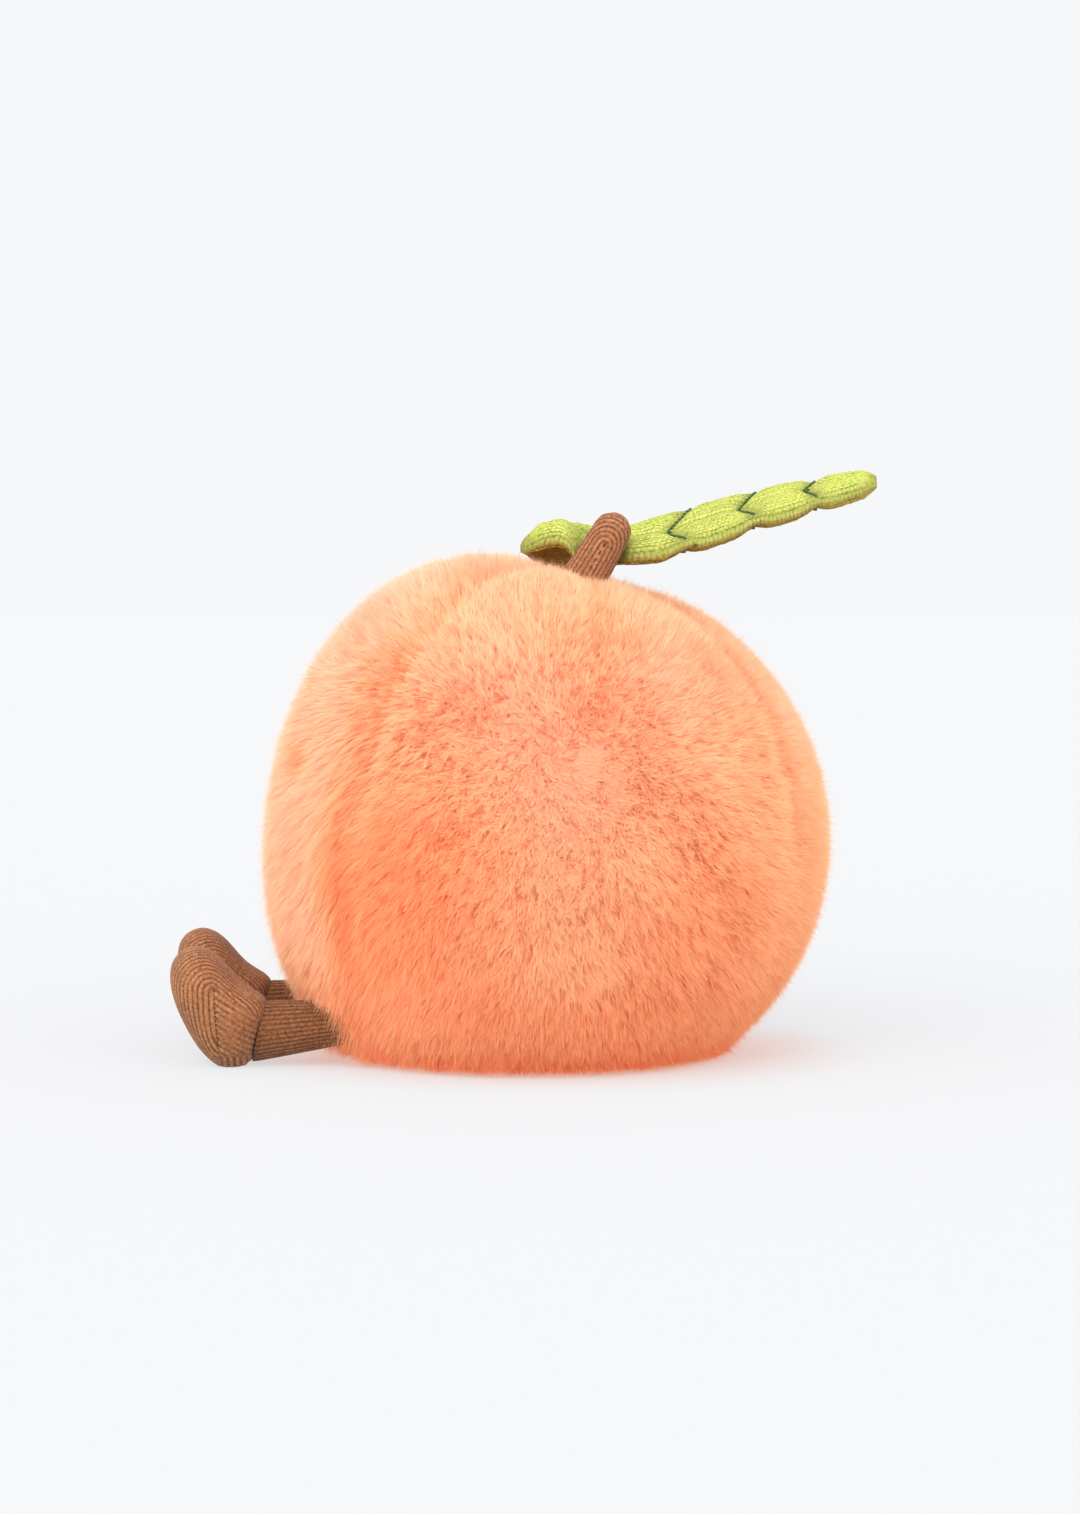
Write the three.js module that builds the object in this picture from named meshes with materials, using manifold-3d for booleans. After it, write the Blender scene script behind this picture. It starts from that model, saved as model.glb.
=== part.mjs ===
// A sitting plush toy in the form of a peach: a fur-covered stuffed body sewn from six gores
// over a round base, a corduroy stem, one quilted leaf and two soft corduroy legs.
// Millimetres, +Z up. The toy faces -Y and its two sides mirror each other across x = 0,
// apart from the leaf, which is sewn on beside the stem, on the -X side.
import * as THREE from 'three';
import { mergeVertices } from 'three/addons/utils/BufferGeometryUtils.js';
import Module from 'manifold-3d';

// ---------------------------------------------------------------- driving dimensions

// Clearances between pieces that touch.
const GAP = 0.3;
const SEAM_GAP = 0.4;

// Body: the outside of the fur, as a radius about the body's centre.
const BODY_CENTRE_Z = 54.5;
const BODY_TILT = THREE.MathUtils.degToRad(8); // the crown leans back
const BODY_RADIUS = 70.7;
const BODY_WIDTH_SCALE = 0.96; // side to side against front to back
const SHOULDER = 1.2; // fullness half way between the equator and the poles
const FRONT_CROWN = 7.8; // the crown is fuller in front of the stem than behind it
const DIMPLE_DEPTH = 4.7;
const DIMPLE_WIDTH = 22;
const HAUNCH = 0.2; // the stuffing spreads low down
const FLOOR_ROUNDING = 2;

// Gores: six wedges of plush between a small ring at the crown and the round base.
const FUR_DEPTH = 8; // cloth and pile together
const CROWN_RING_ANGLE = 0.065; // radians from the body's axis
const SEAM_DEPTH = 2.0;
const SEAM_WIDTH = 4.5;
const SEAM_FADE = 16; // ring radius under which the grooves die out
const GORE_COLUMNS = 8;
const GORE_ROWS = 12;
const SEAM_AZIMUTHS = [40, 89, 147]; // degrees from the front, the same on both sides
const STUFFING_DEPTH = 6.5; // under the outside of the fur, before the gores are cut from it
const STUFFING_OVERRUN = 0.01; // share of a gore's length that this cut runs past its ends

// Base panel and what the body holds.
const BASE_RADIUS = 36;
const BASE_CENTRE_Y = -2.5;
const BASE_THICKNESS = 6.4;
const POUCH_RADIUS = 26;
const POUCH_HALF_HEIGHT = 9;
const POUCH_CENTRE_Z = 12;
const POUCH_FLOOR_Z = 7;
const POUCH_SPACE_DROP = 0.9; // its space in the stuffing is open below

// Corduroy covers.
const CORD_THICKNESS = 1.6;
const STEM_PARTING = 0.5; // the fur and the leaf stay this far from the stem

// Stem: a stuffed tab with a round top, leaning back.
const STEM_BASE = new THREE.Vector3(0, 9.6, 119.6); // where its axis meets the fur
const STEM_LEAN = THREE.MathUtils.degToRad(30.5);
const STEM_ROOT = 6; // sunk in the fur
const STEM_HEIGHT = 17.6; // shown above the fur
const STEM_HALF_DEPTH = 5.5; // at the root, front to back
const STEM_TOP_HALF_DEPTH = 4.7;
const STEM_FLATNESS = 0.78; // side to side against front to back
const STEM_OPENING = 1; // the space in its cover runs on this far past the root

// Legs: soft level tubes from the lower front of the body to the feet.
const LEG_X = 21;
const LEG_ANKLE_Y = -70.4;
const RIGHT_REACH = 1.6; // the right leg and foot lie this much further forward
const LEG_ROOT_Y = -46;
const LEG_ROOT_DEPTH = 6.5; // the root stops this far under the outside of the fur
const ANKLE = { halfWidth: 7.6, halfHeight: 7.4, z: 8.2 };
const HIP = { halfWidth: 6.8, halfHeight: 5.0, z: 10.9 };
const ANKLE_SLOPE = 0.22; // the ankle seam leans forward towards its lower end
const FILLING_OVERLAP = 8; // a leg's filling reaches this far into its foot

// Feet: upright paddles that lean forward at the toe, pulled out towards the ankle.
const FOOT_CENTRE = { y: -82, z: 14.0 };
const FOOT_LEAN = THREE.MathUtils.degToRad(26.5);
const FOOT_HALF_LENGTH = 16;
const FOOT_HALF_DEPTH = 8;
const FOOT_HALF_WIDTH = 13;
const FOOT_SQUARENESS = 2.3; // exponent of the rounded form; 2 is an ellipsoid
const INSTEP = { reach: 4.6, along: -5, spread: 6, power: 1.5 };

// Leaf: two cloth layers and thin wadding, gathered where it is sewn on beside the stem.
const LEAF_FRONT_Y = -6.7;
const LEAF_TIP_Y = 83;
const LEAF_X = -13; // its midrib
const LEAF_END_HALF_WIDTH = 1.5;
const LEAF_GATHER = { front: 9, back: 17, y: 11, halfWidth: 7.3, dip: 9.5, spread: 4.2 };
const LEAF_GATHER_SHARES = { midrib: 0.15, near: 0.8 }; // its near side is sewn down to the fur
const LEAF_BLADE = { halfWidth: 20, fullestLate: 0.8, roundness: 0.75, z: 123.6, slope: 0.236 };
const LEAF_LOBE = { halfWidth: 12, fullestLate: 0.8, roundness: 0.6, z: 130.6, y: 7, bend: 0.02 };
const LEAF_LOBE_DROOP = { depth: 8, power: 1.5 }; // its far side hangs down over the fur
const LEAF_LOBE_ENDS = [2, 14]; // lengths of y over which one shape turns into the next
const LEAF_BLADE_BEGINS = [8, 26];
const LEAF_NEAR_DROOP = { depth: 2.6, ends: [25, 55] }; // its near side hangs lower by the stem
const LEAF_FOLD = { depth: 2.6, begins: [16, 26], ends: [32, 62] }; // the midrib lies in a crease
const LEAF_ROLL = 0.11; // slope across the leaf, down towards +X
const LEAF_CLOTH = 1.0;
const LEAF_PUFF = { top: 2.0, under: 1.0 }; // how far the quilting swells each cloth
const QUILTING = { midrib: 2.6, vein: 2.4, end: 0.05, edge: 0.15, edgePower: 4 };
const WADDING_PRESSED = 0.6; // under the stitching
const LEAF_VEINS_Y = [30, 48, 64.5]; // where the stitched veins leave the midrib
const LEAF_VEIN_SWEEP = { far: 9.5, near: 6, begins: [12, 30], fade: 0.5 }; // back at the edges
const LEAF_ROWS = 30;
const LEAF_COLUMNS = 10;
const WADDING_REACH = 0.8; // it stops short of the sewn edge, on a line of the same grid

// Facets round and along each form.
const BODY_FACETS = [28, 18];
const BASE_FACETS = 48;
const POUCH_FACETS = [20, 12];
const STEM_FACETS = { around: 20, arc: 3 };
const LEG_FACETS = [20, 3];
const FOOT_FACETS = [20, 14];
const MERGE_TOLERANCE = 1e-4;
const ANKLE_BLOCK = 60; // larger than a foot

// ---------------------------------------------------------------- materials

const plush = new THREE.MeshStandardMaterial({ color: 0xfda679, roughness: 0.95, metalness: 0 });
const corduroy = new THREE.MeshStandardMaterial({ color: 0xa86d47, roughness: 0.9, metalness: 0 });
const leafCloth = new THREE.MeshStandardMaterial({ color: 0xb4c64e, roughness: 0.9, metalness: 0 });
const leafBack = new THREE.MeshStandardMaterial({ color: 0xa69a3c, roughness: 0.9, metalness: 0 });
const fibre = new THREE.MeshStandardMaterial({ color: 0xf2efe8, roughness: 1, metalness: 0 });
const pouchCloth = new THREE.MeshStandardMaterial({ color: 0xd9d2c4, roughness: 1, metalness: 0 });

// ---------------------------------------------------------------- solids and booleans

const wasm = await Module();
wasm.setup();

// The geometry with its shared vertices merged, without the triangles that this closes up,
// such as those on a lathe's axis.
function mergedShape(geometry) {
  const bare = geometry.clone();
  bare.deleteAttribute('normal');
  bare.deleteAttribute('uv');
  const merged = mergeVertices(bare, MERGE_TOLERANCE);
  const faces = merged.index.array;
  const kept = [];
  for (let i = 0; i < faces.length; i += 3) {
    const [a, b, c] = faces.slice(i, i + 3);
    if (a !== b && b !== c && c !== a) {
      kept.push(a, b, c);
    }
  }
  merged.setIndex(kept);
  return merged;
}

// A closed geometry with no vertex doubled, as a solid for booleans.
function toSolid(geometry) {
  const vertProperties = new Float32Array(geometry.attributes.position.array);
  const triVerts = new Uint32Array(geometry.index.array);
  return new wasm.Manifold(new wasm.Mesh({ numProp: 3, vertProperties, triVerts }));
}

function toGeometry(solid) {
  const { vertProperties, triVerts } = solid.getMesh();
  const geometry = new THREE.BufferGeometry();
  geometry.setAttribute('position', new THREE.BufferAttribute(vertProperties, 3));
  geometry.setIndex(new THREE.BufferAttribute(triVerts, 1));
  geometry.computeVertexNormals();
  return geometry;
}

// Merges a geometry, then moves every vertex by place(vertex), which returns its new position.
function reshape(geometry, place) {
  const shape = mergedShape(geometry);
  const position = shape.attributes.position;
  const vertex = new THREE.Vector3();
  for (let i = 0; i < position.count; i += 1) {
    vertex.fromBufferAttribute(position, i);
    const moved = place(vertex);
    position.setXYZ(i, moved.x, moved.y, moved.z);
  }
  return shape;
}

// A closed sheet between two surfaces of (u, v), both split into triangles alike.
// upper is the side that faces out when u, v and the outward normal are right-handed.
function closedSheet(columns, rows, upper, lower) {
  const grid = new THREE.PlaneGeometry(1, 1, columns, rows);
  const count = grid.attributes.position.count;
  const positions = [];
  for (const surface of [upper, lower]) {
    for (let i = 0; i < count; i += 1) {
      const u = grid.attributes.uv.getX(i);
      const v = grid.attributes.uv.getY(i);
      positions.push(...surface(u, v).toArray());
    }
  }
  const faces = Array.from(grid.index.array);
  const index = [...faces];
  for (let i = 0; i < faces.length; i += 3) {
    index.push(faces[i] + count, faces[i + 2] + count, faces[i + 1] + count);
  }
  for (const [a, b] of gridRim(columns, rows)) {
    index.push(a, a + count, b);
    index.push(b, a + count, b + count);
  }
  const geometry = new THREE.BufferGeometry();
  geometry.setAttribute('position', new THREE.Float32BufferAttribute(positions, 3));
  geometry.setIndex(index);
  geometry.computeVertexNormals();
  return geometry;
}

// The grid's border as pairs of vertex numbers, in the same turning sense as its faces.
function gridRim(columns, rows) {
  const stride = columns + 1;
  const pairs = [];
  for (let i = 0; i < columns; i += 1) {
    pairs.push([i + 1, i]);
    pairs.push([rows * stride + i, rows * stride + i + 1]);
  }
  for (let j = 0; j < rows; j += 1) {
    pairs.push([j * stride, (j + 1) * stride]);
    pairs.push([(j + 1) * stride + columns, j * stride + columns]);
  }
  return pairs;
}

function smoothMin(a, b, rounding) {
  return 0.5 * (a + b - Math.hypot(a - b, rounding));
}

function bell(x, width) {
  return Math.exp(-((x / width) ** 2));
}

// From 0 to 1 over a range.
function rise(x, [from, to]) {
  return THREE.MathUtils.smoothstep(x, from, to);
}

// ---------------------------------------------------------------- the body's surface

const BODY_CENTRE = new THREE.Vector3(0, 0, BODY_CENTRE_Z);
const AXIS_UP = new THREE.Vector3(0, Math.sin(BODY_TILT), Math.cos(BODY_TILT));
const AXIS_BACK = new THREE.Vector3(0, Math.cos(BODY_TILT), -Math.sin(BODY_TILT));

// Outer radius of the fur along a unit direction from the body's centre.
function furRadius(direction) {
  const up = direction.dot(AXIS_UP);
  const back = direction.dot(AXIS_BACK);
  const round = Math.hypot(direction.x, back);
  let radius = BODY_RADIUS + SHOULDER * (2 * up * round) ** 2;
  radius -= FRONT_CROWN * up * up * back;
  if (up > 0) {
    radius -= DIMPLE_DEPTH * bell(round * BODY_RADIUS, DIMPLE_WIDTH);
  } else {
    radius += HAUNCH * (2 * up * round) ** 2;
  }
  if (direction.z < 0) {
    radius = smoothMin(radius, BODY_CENTRE_Z / -direction.z, FLOOR_ROUNDING);
  }
  return radius;
}

function bodyPoint(direction, depth) {
  const point = direction.clone().multiplyScalar(furRadius(direction) - depth);
  point.x *= BODY_WIDTH_SCALE;
  return point.add(BODY_CENTRE);
}

// A unit direction on the seam line at an azimuth, from the crown ring (0) to the base (1).
function seamDirection(azimuth, travel) {
  const crown = AXIS_UP.clone().multiplyScalar(Math.cos(CROWN_RING_ANGLE));
  crown.addScaledVector(AXIS_BACK, -Math.cos(azimuth) * Math.sin(CROWN_RING_ANGLE));
  crown.x = Math.sin(azimuth) * Math.sin(CROWN_RING_ANGLE);
  const base = new THREE.Vector3(BASE_RADIUS * Math.sin(azimuth), 0, -BODY_CENTRE_Z);
  base.y = BASE_CENTRE_Y - BASE_RADIUS * Math.cos(azimuth);
  base.normalize();
  const angle = crown.angleTo(base);
  crown.multiplyScalar(Math.sin((1 - travel) * angle) / Math.sin(angle));
  return crown.addScaledVector(base, Math.sin(travel * angle) / Math.sin(angle));
}

// One wedge of plush between two seams. The seams pull the fur in; the cloth inside stays round.
// clear is 0 for the gore itself, or the distance that the stuffing keeps to it.
function goreGeometry(fromAzimuth, toAzimuth, clear) {
  const span = toAzimuth - fromAzimuth;
  const seamGap = clear > 0 ? -clear : SEAM_GAP;
  const surface = (u, v, depth, groove) => {
    const across = 0.5 - 0.5 * Math.cos(Math.PI * u); // closer columns beside the seams
    const azimuth = fromAzimuth + span * across;
    const overrun = clear > 0 && (v === 0 || v === 1) ? STUFFING_OVERRUN : 0;
    const direction = seamDirection(azimuth, 1 - v + Math.sign(0.5 - v) * overrun);
    const ringRadius = BODY_RADIUS * Math.hypot(direction.x, direction.dot(AXIS_BACK));
    const toSeam = ringRadius * span * Math.min(across, 1 - across);
    const fade = Math.min(1, ringRadius / SEAM_FADE) ** 2;
    const point = bodyPoint(direction, depth + groove * fade * bell(toSeam, SEAM_WIDTH));
    const along = new THREE.Vector3(Math.cos(azimuth), Math.sin(azimuth), 0);
    return point.addScaledVector(along, seamGap * (0.5 - across));
  };
  const outside = (u, v) => surface(u, v, 0, SEAM_DEPTH);
  const inside = (u, v) => surface(u, v, FUR_DEPTH + clear, 0);
  return closedSheet(GORE_COLUMNS, GORE_ROWS, outside, inside);
}

// The round body at a depth under the outside of the fur, cut off flat at a height.
function bodyCore(depth, floorZ) {
  return reshape(new THREE.SphereGeometry(1, ...BODY_FACETS), (vertex) => {
    const direction = vertex.clone().normalize();
    const point = bodyPoint(direction, depth);
    if (point.z < floorZ) {
      const shrink = (floorZ - BODY_CENTRE_Z) / (point.z - BODY_CENTRE_Z);
      point.sub(BODY_CENTRE).multiplyScalar(shrink).add(BODY_CENTRE);
    }
    return point;
  });
}

// The base: a disc whose rim follows the gores' lower edges.
function basePanelGeometry() {
  const radius = BASE_RADIUS - SEAM_GAP;
  return reshape(new THREE.CylinderGeometry(1, 1, 1, BASE_FACETS, 1), (vertex) => {
    const point = new THREE.Vector3(vertex.x * radius * BODY_WIDTH_SCALE, 0, 0);
    point.y = BASE_CENTRE_Y + vertex.z * -radius;
    const lift = vertex.y > 0 ? BASE_THICKNESS : 0;
    return point.lerp(BODY_CENTRE, lift / BODY_CENTRE_Z);
  });
}

function pouchGeometry(grow) {
  const radius = POUCH_RADIUS + grow;
  const floor = POUCH_FLOOR_Z - (grow > 0 ? POUCH_SPACE_DROP : 0);
  return reshape(new THREE.SphereGeometry(1, ...POUCH_FACETS), (vertex) => {
    const z = POUCH_CENTRE_Z + vertex.y * (POUCH_HALF_HEIGHT + grow);
    const y = BASE_CENTRE_Y - vertex.z * radius;
    return new THREE.Vector3(vertex.x * radius, y, Math.max(z, floor));
  });
}

// ---------------------------------------------------------------- the stem

// A round-topped tab; grow is added all round, and extra to the length of its root.
function stemGeometry(grow, extraRoot) {
  const profile = new THREE.Path();
  const top = STEM_TOP_HALF_DEPTH + grow;
  const root = STEM_ROOT + extraRoot;
  profile.moveTo(0, -root);
  profile.lineTo(STEM_HALF_DEPTH + grow, -root);
  profile.lineTo(STEM_HALF_DEPTH + grow, 0);
  profile.lineTo(top, STEM_HEIGHT - STEM_TOP_HALF_DEPTH);
  profile.absarc(0, STEM_HEIGHT - STEM_TOP_HALF_DEPTH, top, 0, Math.PI / 2, false);
  const points = profile.getPoints(STEM_FACETS.arc);
  points[points.length - 1].x = 0;
  const geometry = mergedShape(new THREE.LatheGeometry(points, STEM_FACETS.around));
  geometry.scale(STEM_FLATNESS, 1, 1);
  geometry.rotateX(Math.PI / 2 - STEM_LEAN);
  return geometry.translate(STEM_BASE.x, STEM_BASE.y, STEM_BASE.z);
}

// ---------------------------------------------------------------- legs and feet

// A level tube from the ankle to the hip; grow is added all round, early and late at its ends.
function legGeometry(side, grow, early, late) {
  const ahead = side < 0 ? RIGHT_REACH : 0;
  return reshape(new THREE.CylinderGeometry(1, 1, 1, ...LEG_FACETS), (vertex) => {
    const along = vertex.y + 0.5;
    const halfWidth = THREE.MathUtils.lerp(ANKLE.halfWidth, HIP.halfWidth, along) + grow;
    const halfHeight = THREE.MathUtils.lerp(ANKLE.halfHeight, HIP.halfHeight, along) + grow;
    const middle = THREE.MathUtils.lerp(ANKLE.z, HIP.z, along);
    const z = middle + vertex.z * halfHeight;
    const ankleY = LEG_ANKLE_Y - ahead - early + (z - ANKLE.z) * ANKLE_SLOPE;
    const y = THREE.MathUtils.lerp(ankleY, LEG_ROOT_Y + late, along);
    return new THREE.Vector3(side * LEG_X + vertex.x * halfWidth, y, z);
  });
}

// The paddle of a foot. along runs up its length to the toe, outwards towards the ankle.
function footGeometry(side, grow) {
  const ahead = side < 0 ? RIGHT_REACH : 0;
  const sin = Math.sin(FOOT_LEAN);
  const cos = Math.cos(FOOT_LEAN);
  const power = FOOT_SQUARENESS;
  return reshape(new THREE.SphereGeometry(1, ...FOOT_FACETS), ({ x, y, z }) => {
    const sum = Math.abs(x) ** power + Math.abs(y) ** power + Math.abs(z) ** power;
    const norm = sum ** (1 / power);
    const along = (FOOT_HALF_LENGTH + grow) * y / norm;
    const bulge = INSTEP.reach * bell(along - INSTEP.along, INSTEP.spread);
    const instep = bulge * Math.max(0, z / norm) ** INSTEP.power;
    const outwards = (FOOT_HALF_DEPTH + grow) * z / norm + instep;
    const point = new THREE.Vector3(side * LEG_X - (FOOT_HALF_WIDTH + grow) * x / norm, 0, 0);
    point.y = FOOT_CENTRE.y - ahead - along * sin + outwards * cos;
    point.z = FOOT_CENTRE.z + along * cos + outwards * sin;
    point.z = Math.max(point.z, -grow); // the heel is pressed flat where it rests
    return point;
  });
}

// A block that holds everything behind the ankle seam.
function behindAnkle(side, shift) {
  const ahead = side < 0 ? RIGHT_REACH : 0;
  const block = mergedShape(new THREE.BoxGeometry(ANKLE_BLOCK, ANKLE_BLOCK, 2 * ANKLE_BLOCK));
  block.translate(0, ANKLE_BLOCK / 2, 0);
  block.rotateX(-Math.atan(ANKLE_SLOPE));
  return block.translate(side * LEG_X, LEG_ANKLE_Y - ahead + shift, ANKLE.z);
}

// ---------------------------------------------------------------- the leaf

function leafHalfWidth(y) {
  let part = LEAF_BLADE;
  let share = 0;
  if (y > LEAF_GATHER.back) {
    share = (y - LEAF_GATHER.back) / (LEAF_TIP_Y - LEAF_GATHER.back);
  } else if (y < LEAF_GATHER.front) {
    part = LEAF_LOBE;
    share = (LEAF_GATHER.front - y) / (LEAF_GATHER.front - LEAF_FRONT_Y);
  }
  const outline = Math.max(0, Math.sin(Math.PI * share ** part.fullestLate)) ** part.roundness;
  const width = part.halfWidth * outline + LEAF_GATHER.halfWidth * (1 - share) ** 2;
  return Math.hypot(width, LEAF_END_HALF_WIDTH);
}

// Height of the midrib: a short lobe arched over the fur, then a straight rise to the tip.
function leafMidribZ(y) {
  const lobe = LEAF_LOBE.z - LEAF_LOBE.bend * (y - LEAF_LOBE.y) ** 2;
  const blade = LEAF_BLADE.z + LEAF_BLADE.slope * y;
  return THREE.MathUtils.lerp(lobe, blade, rise(y, LEAF_BLADE_BEGINS));
}

// The middle of the leaf. across runs from -1 at the far edge to 1 at the edge by +X.
function leafMiddle(row, across) {
  const start = THREE.MathUtils.lerp(LEAF_FRONT_Y, LEAF_TIP_Y, row);
  const sweep = across > 0 ? LEAF_VEIN_SWEEP.near : LEAF_VEIN_SWEEP.far;
  const tipFade = Math.max(0, 1 - row) ** LEAF_VEIN_SWEEP.fade;
  const y = start + sweep * rise(start, LEAF_VEIN_SWEEP.begins) * tipFade * Math.abs(across);
  const halfWidth = leafHalfWidth(start);
  const lobe = 1 - rise(y, LEAF_LOBE_ENDS);
  const near = Math.max(0, across) * (1 - rise(y, LEAF_NEAR_DROOP.ends));
  const far = Math.max(0, -across * halfWidth / LEAF_LOBE.halfWidth) ** LEAF_LOBE_DROOP.power;
  const fold = rise(y, LEAF_FOLD.begins) * (1 - rise(y, LEAF_FOLD.ends));
  const gather = LEAF_GATHER_SHARES.midrib + LEAF_GATHER_SHARES.near * Math.max(0, across);
  let z = leafMidribZ(y) - LEAF_ROLL * halfWidth * across * (1 - lobe);
  z -= LEAF_GATHER.dip * bell(y - LEAF_GATHER.y, LEAF_GATHER.spread) * gather;
  z -= LEAF_NEAR_DROOP.depth * near * (1 - lobe) + LEAF_LOBE_DROOP.depth * far * lobe;
  z -= LEAF_FOLD.depth * fold * (1 - Math.abs(across));
  return new THREE.Vector3(LEAF_X + halfWidth * across, y, z);
}

// How full the quilting is at a point: 0 on the veins, the midrib and the edge, 1 between them.
function leafFullness(row, across) {
  const start = THREE.MathUtils.lerp(LEAF_FRONT_Y, LEAF_TIP_Y, row);
  let fullness = 1 - bell(across * leafHalfWidth(start), QUILTING.midrib);
  for (const veinY of LEAF_VEINS_Y) {
    fullness *= 1 - bell(start - veinY, QUILTING.vein);
  }
  const end = THREE.MathUtils.clamp(Math.min(row, 1 - row) / QUILTING.end, 0, 1);
  return fullness * Math.max(0, 1 - across ** QUILTING.edgePower) * end;
}

// The inner face of a cloth layer above (swell > 0) or below (swell < 0) the leaf's middle.
function clothHeight(row, across, swell) {
  const fromSide = (1 - Math.abs(across)) / QUILTING.edge;
  const fromEnd = Math.min(row, 1 - row) / QUILTING.end;
  const inside = THREE.MathUtils.clamp(Math.min(fromSide, fromEnd), 0, 1);
  const edge = 0.6 * GAP; // half the space between the two cloths at their edge
  const height = THREE.MathUtils.lerp(edge, 0.5 * WADDING_PRESSED + GAP, inside);
  return Math.sign(swell) * height + swell * leafFullness(row, across);
}

// A layer of the leaf out to a share of its outline. lower and upper are [swell, offset]: the
// inner face of the cloth with that swell, moved by the offset.
function leafLayer(reach, lower, upper) {
  const rows = Math.round(LEAF_ROWS * reach);
  const columns = Math.round(LEAF_COLUMNS * reach);
  const surface = (u, v, [swell, offset]) => {
    const row = THREE.MathUtils.lerp(0.5 - 0.5 * reach, 0.5 + 0.5 * reach, v);
    const across = THREE.MathUtils.lerp(-reach, reach, u);
    const point = leafMiddle(row, across);
    point.z += clothHeight(row, across, swell) + offset;
    return point;
  };
  return closedSheet(columns, rows, (u, v) => surface(u, v, upper), (u, v) => surface(u, v, lower));
}

// ---------------------------------------------------------------- assembly

const peach = new THREE.Group();

function addPiece(name, geometry, material) {
  const mesh = new THREE.Mesh(geometry, material);
  mesh.name = name;
  peach.add(mesh);
}

// Leaf layers first: the fur is parted for the gather, and the leaf is cut clear of the stem.
const stemSpace = toSolid(stemGeometry(STEM_PARTING, GAP));
const top = LEAF_PUFF.top;
const under = -LEAF_PUFF.under;
const leafPieces = [
  ['leaf_top', leafCloth, 1, [top, 0], [top, LEAF_CLOTH]],
  ['leaf_underside', leafBack, 1, [under, -LEAF_CLOTH], [under, 0]],
  ['leaf_wadding', fibre, WADDING_REACH, [under, GAP], [top, -GAP]],
];
for (const [name, material, ...layer] of leafPieces) {
  addPiece(name, toGeometry(toSolid(leafLayer(...layer)).subtract(stemSpace)), material);
}
const outside = LEAF_CLOTH + 2 * GAP;
const leafSpaces = [[GAP, 0], [-GAP, 0], [0, GAP], [0, -GAP]].map(([shiftX, shiftY]) => {
  const whole = leafLayer(1, [under, -outside], [top, outside]);
  return toSolid(whole.translate(shiftX, shiftY, 0));
});

// Legs, feet and their filling, left (+X) and right (-X).
const hipCore = toSolid(bodyCore(LEG_ROOT_DEPTH, LEG_ROOT_DEPTH));
const legSpaces = [];
for (const [word, side] of [['left', 1], ['right', -1]]) {
  const fillingAt = (grow) => {
    const ankle = toSolid(behindAnkle(side, -CORD_THICKNESS + grow));
    const foot = toSolid(footGeometry(side, grow - CORD_THICKNESS)).subtract(ankle);
    return foot.add(toSolid(legGeometry(side, grow - CORD_THICKNESS, FILLING_OVERLAP, 0)));
  };
  const fillingSpace = fillingAt(GAP);
  const foot = toSolid(footGeometry(side, 0)).subtract(toSolid(behindAnkle(side, -GAP / 2)));
  const leg = toSolid(legGeometry(side, 0, -GAP / 2, 0)).subtract(hipCore);
  addPiece(`foot_cover_${word}`, toGeometry(foot.subtract(fillingSpace)), corduroy);
  addPiece(`leg_cover_${word}`, toGeometry(leg.subtract(fillingSpace)), corduroy);
  addPiece(`leg_filling_${word}`, toGeometry(fillingAt(0).subtract(hipCore)), fibre);
  legSpaces.push(toSolid(legGeometry(side, GAP, 0, GAP)));
}

// Gores, counted round from the front, each parted for what is sewn into it.
const goreEdges = [
  ['front', -SEAM_AZIMUTHS[0], SEAM_AZIMUTHS[0]],
  ['front_side_left', SEAM_AZIMUTHS[0], SEAM_AZIMUTHS[1]],
  ['back_side_left', SEAM_AZIMUTHS[1], SEAM_AZIMUTHS[2]],
  ['back', SEAM_AZIMUTHS[2], 360 - SEAM_AZIMUTHS[2]],
  ['back_side_right', -SEAM_AZIMUTHS[2], -SEAM_AZIMUTHS[1]],
  ['front_side_right', -SEAM_AZIMUTHS[1], -SEAM_AZIMUTHS[0]],
];
let stuffing = toSolid(bodyCore(STUFFING_DEPTH, POUCH_FLOOR_Z));
for (const [word, from, to] of goreEdges) {
  const azimuths = [from, to].map((degrees) => THREE.MathUtils.degToRad(degrees));
  let gore = toSolid(goreGeometry(...azimuths, 0));
  for (const space of [stemSpace, ...leafSpaces, ...legSpaces]) {
    gore = gore.subtract(space);
  }
  addPiece(`fur_gore_${word}`, toGeometry(gore), plush);
  stuffing = stuffing.subtract(toSolid(goreGeometry(...azimuths, GAP)));
}

// The base panel and what the body holds; the pouch of beans lies in the stuffing's underside.
stuffing = stuffing.subtract(stemSpace).subtract(toSolid(pouchGeometry(GAP)));
addPiece('base_panel', basePanelGeometry(), plush);
addPiece('body_stuffing', toGeometry(stuffing), fibre);
addPiece('bean_pouch', pouchGeometry(0), pouchCloth);

// The stem's cover is open at its root, where the filling stops flush with it.
const stemFilling = (grow, extraRoot) => toSolid(stemGeometry(grow - CORD_THICKNESS, extraRoot));
const stemCover = toSolid(stemGeometry(0, 0)).subtract(stemFilling(GAP, STEM_OPENING));
addPiece('stem_cover', toGeometry(stemCover), corduroy);
addPiece('stem_filling', toGeometry(stemFilling(0, 0)), fibre);

// The origin is under the middle of the toy's outline, on the surface it sits on.
const box = new THREE.Box3().setFromObject(peach);
const middle = box.getCenter(new THREE.Vector3());
peach.position.set(-middle.x, -middle.y, -box.min.z);

export default peach;
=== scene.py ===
"""A sitting plush peach: a fur-covered body, a corduroy stem and legs, and a quilted leaf.

Shapes are worked out in millimetres about the point under the body's centre, from the same
driving sizes as the solids, and go into Blender in metres in the row's frame.
"""

import math

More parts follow.
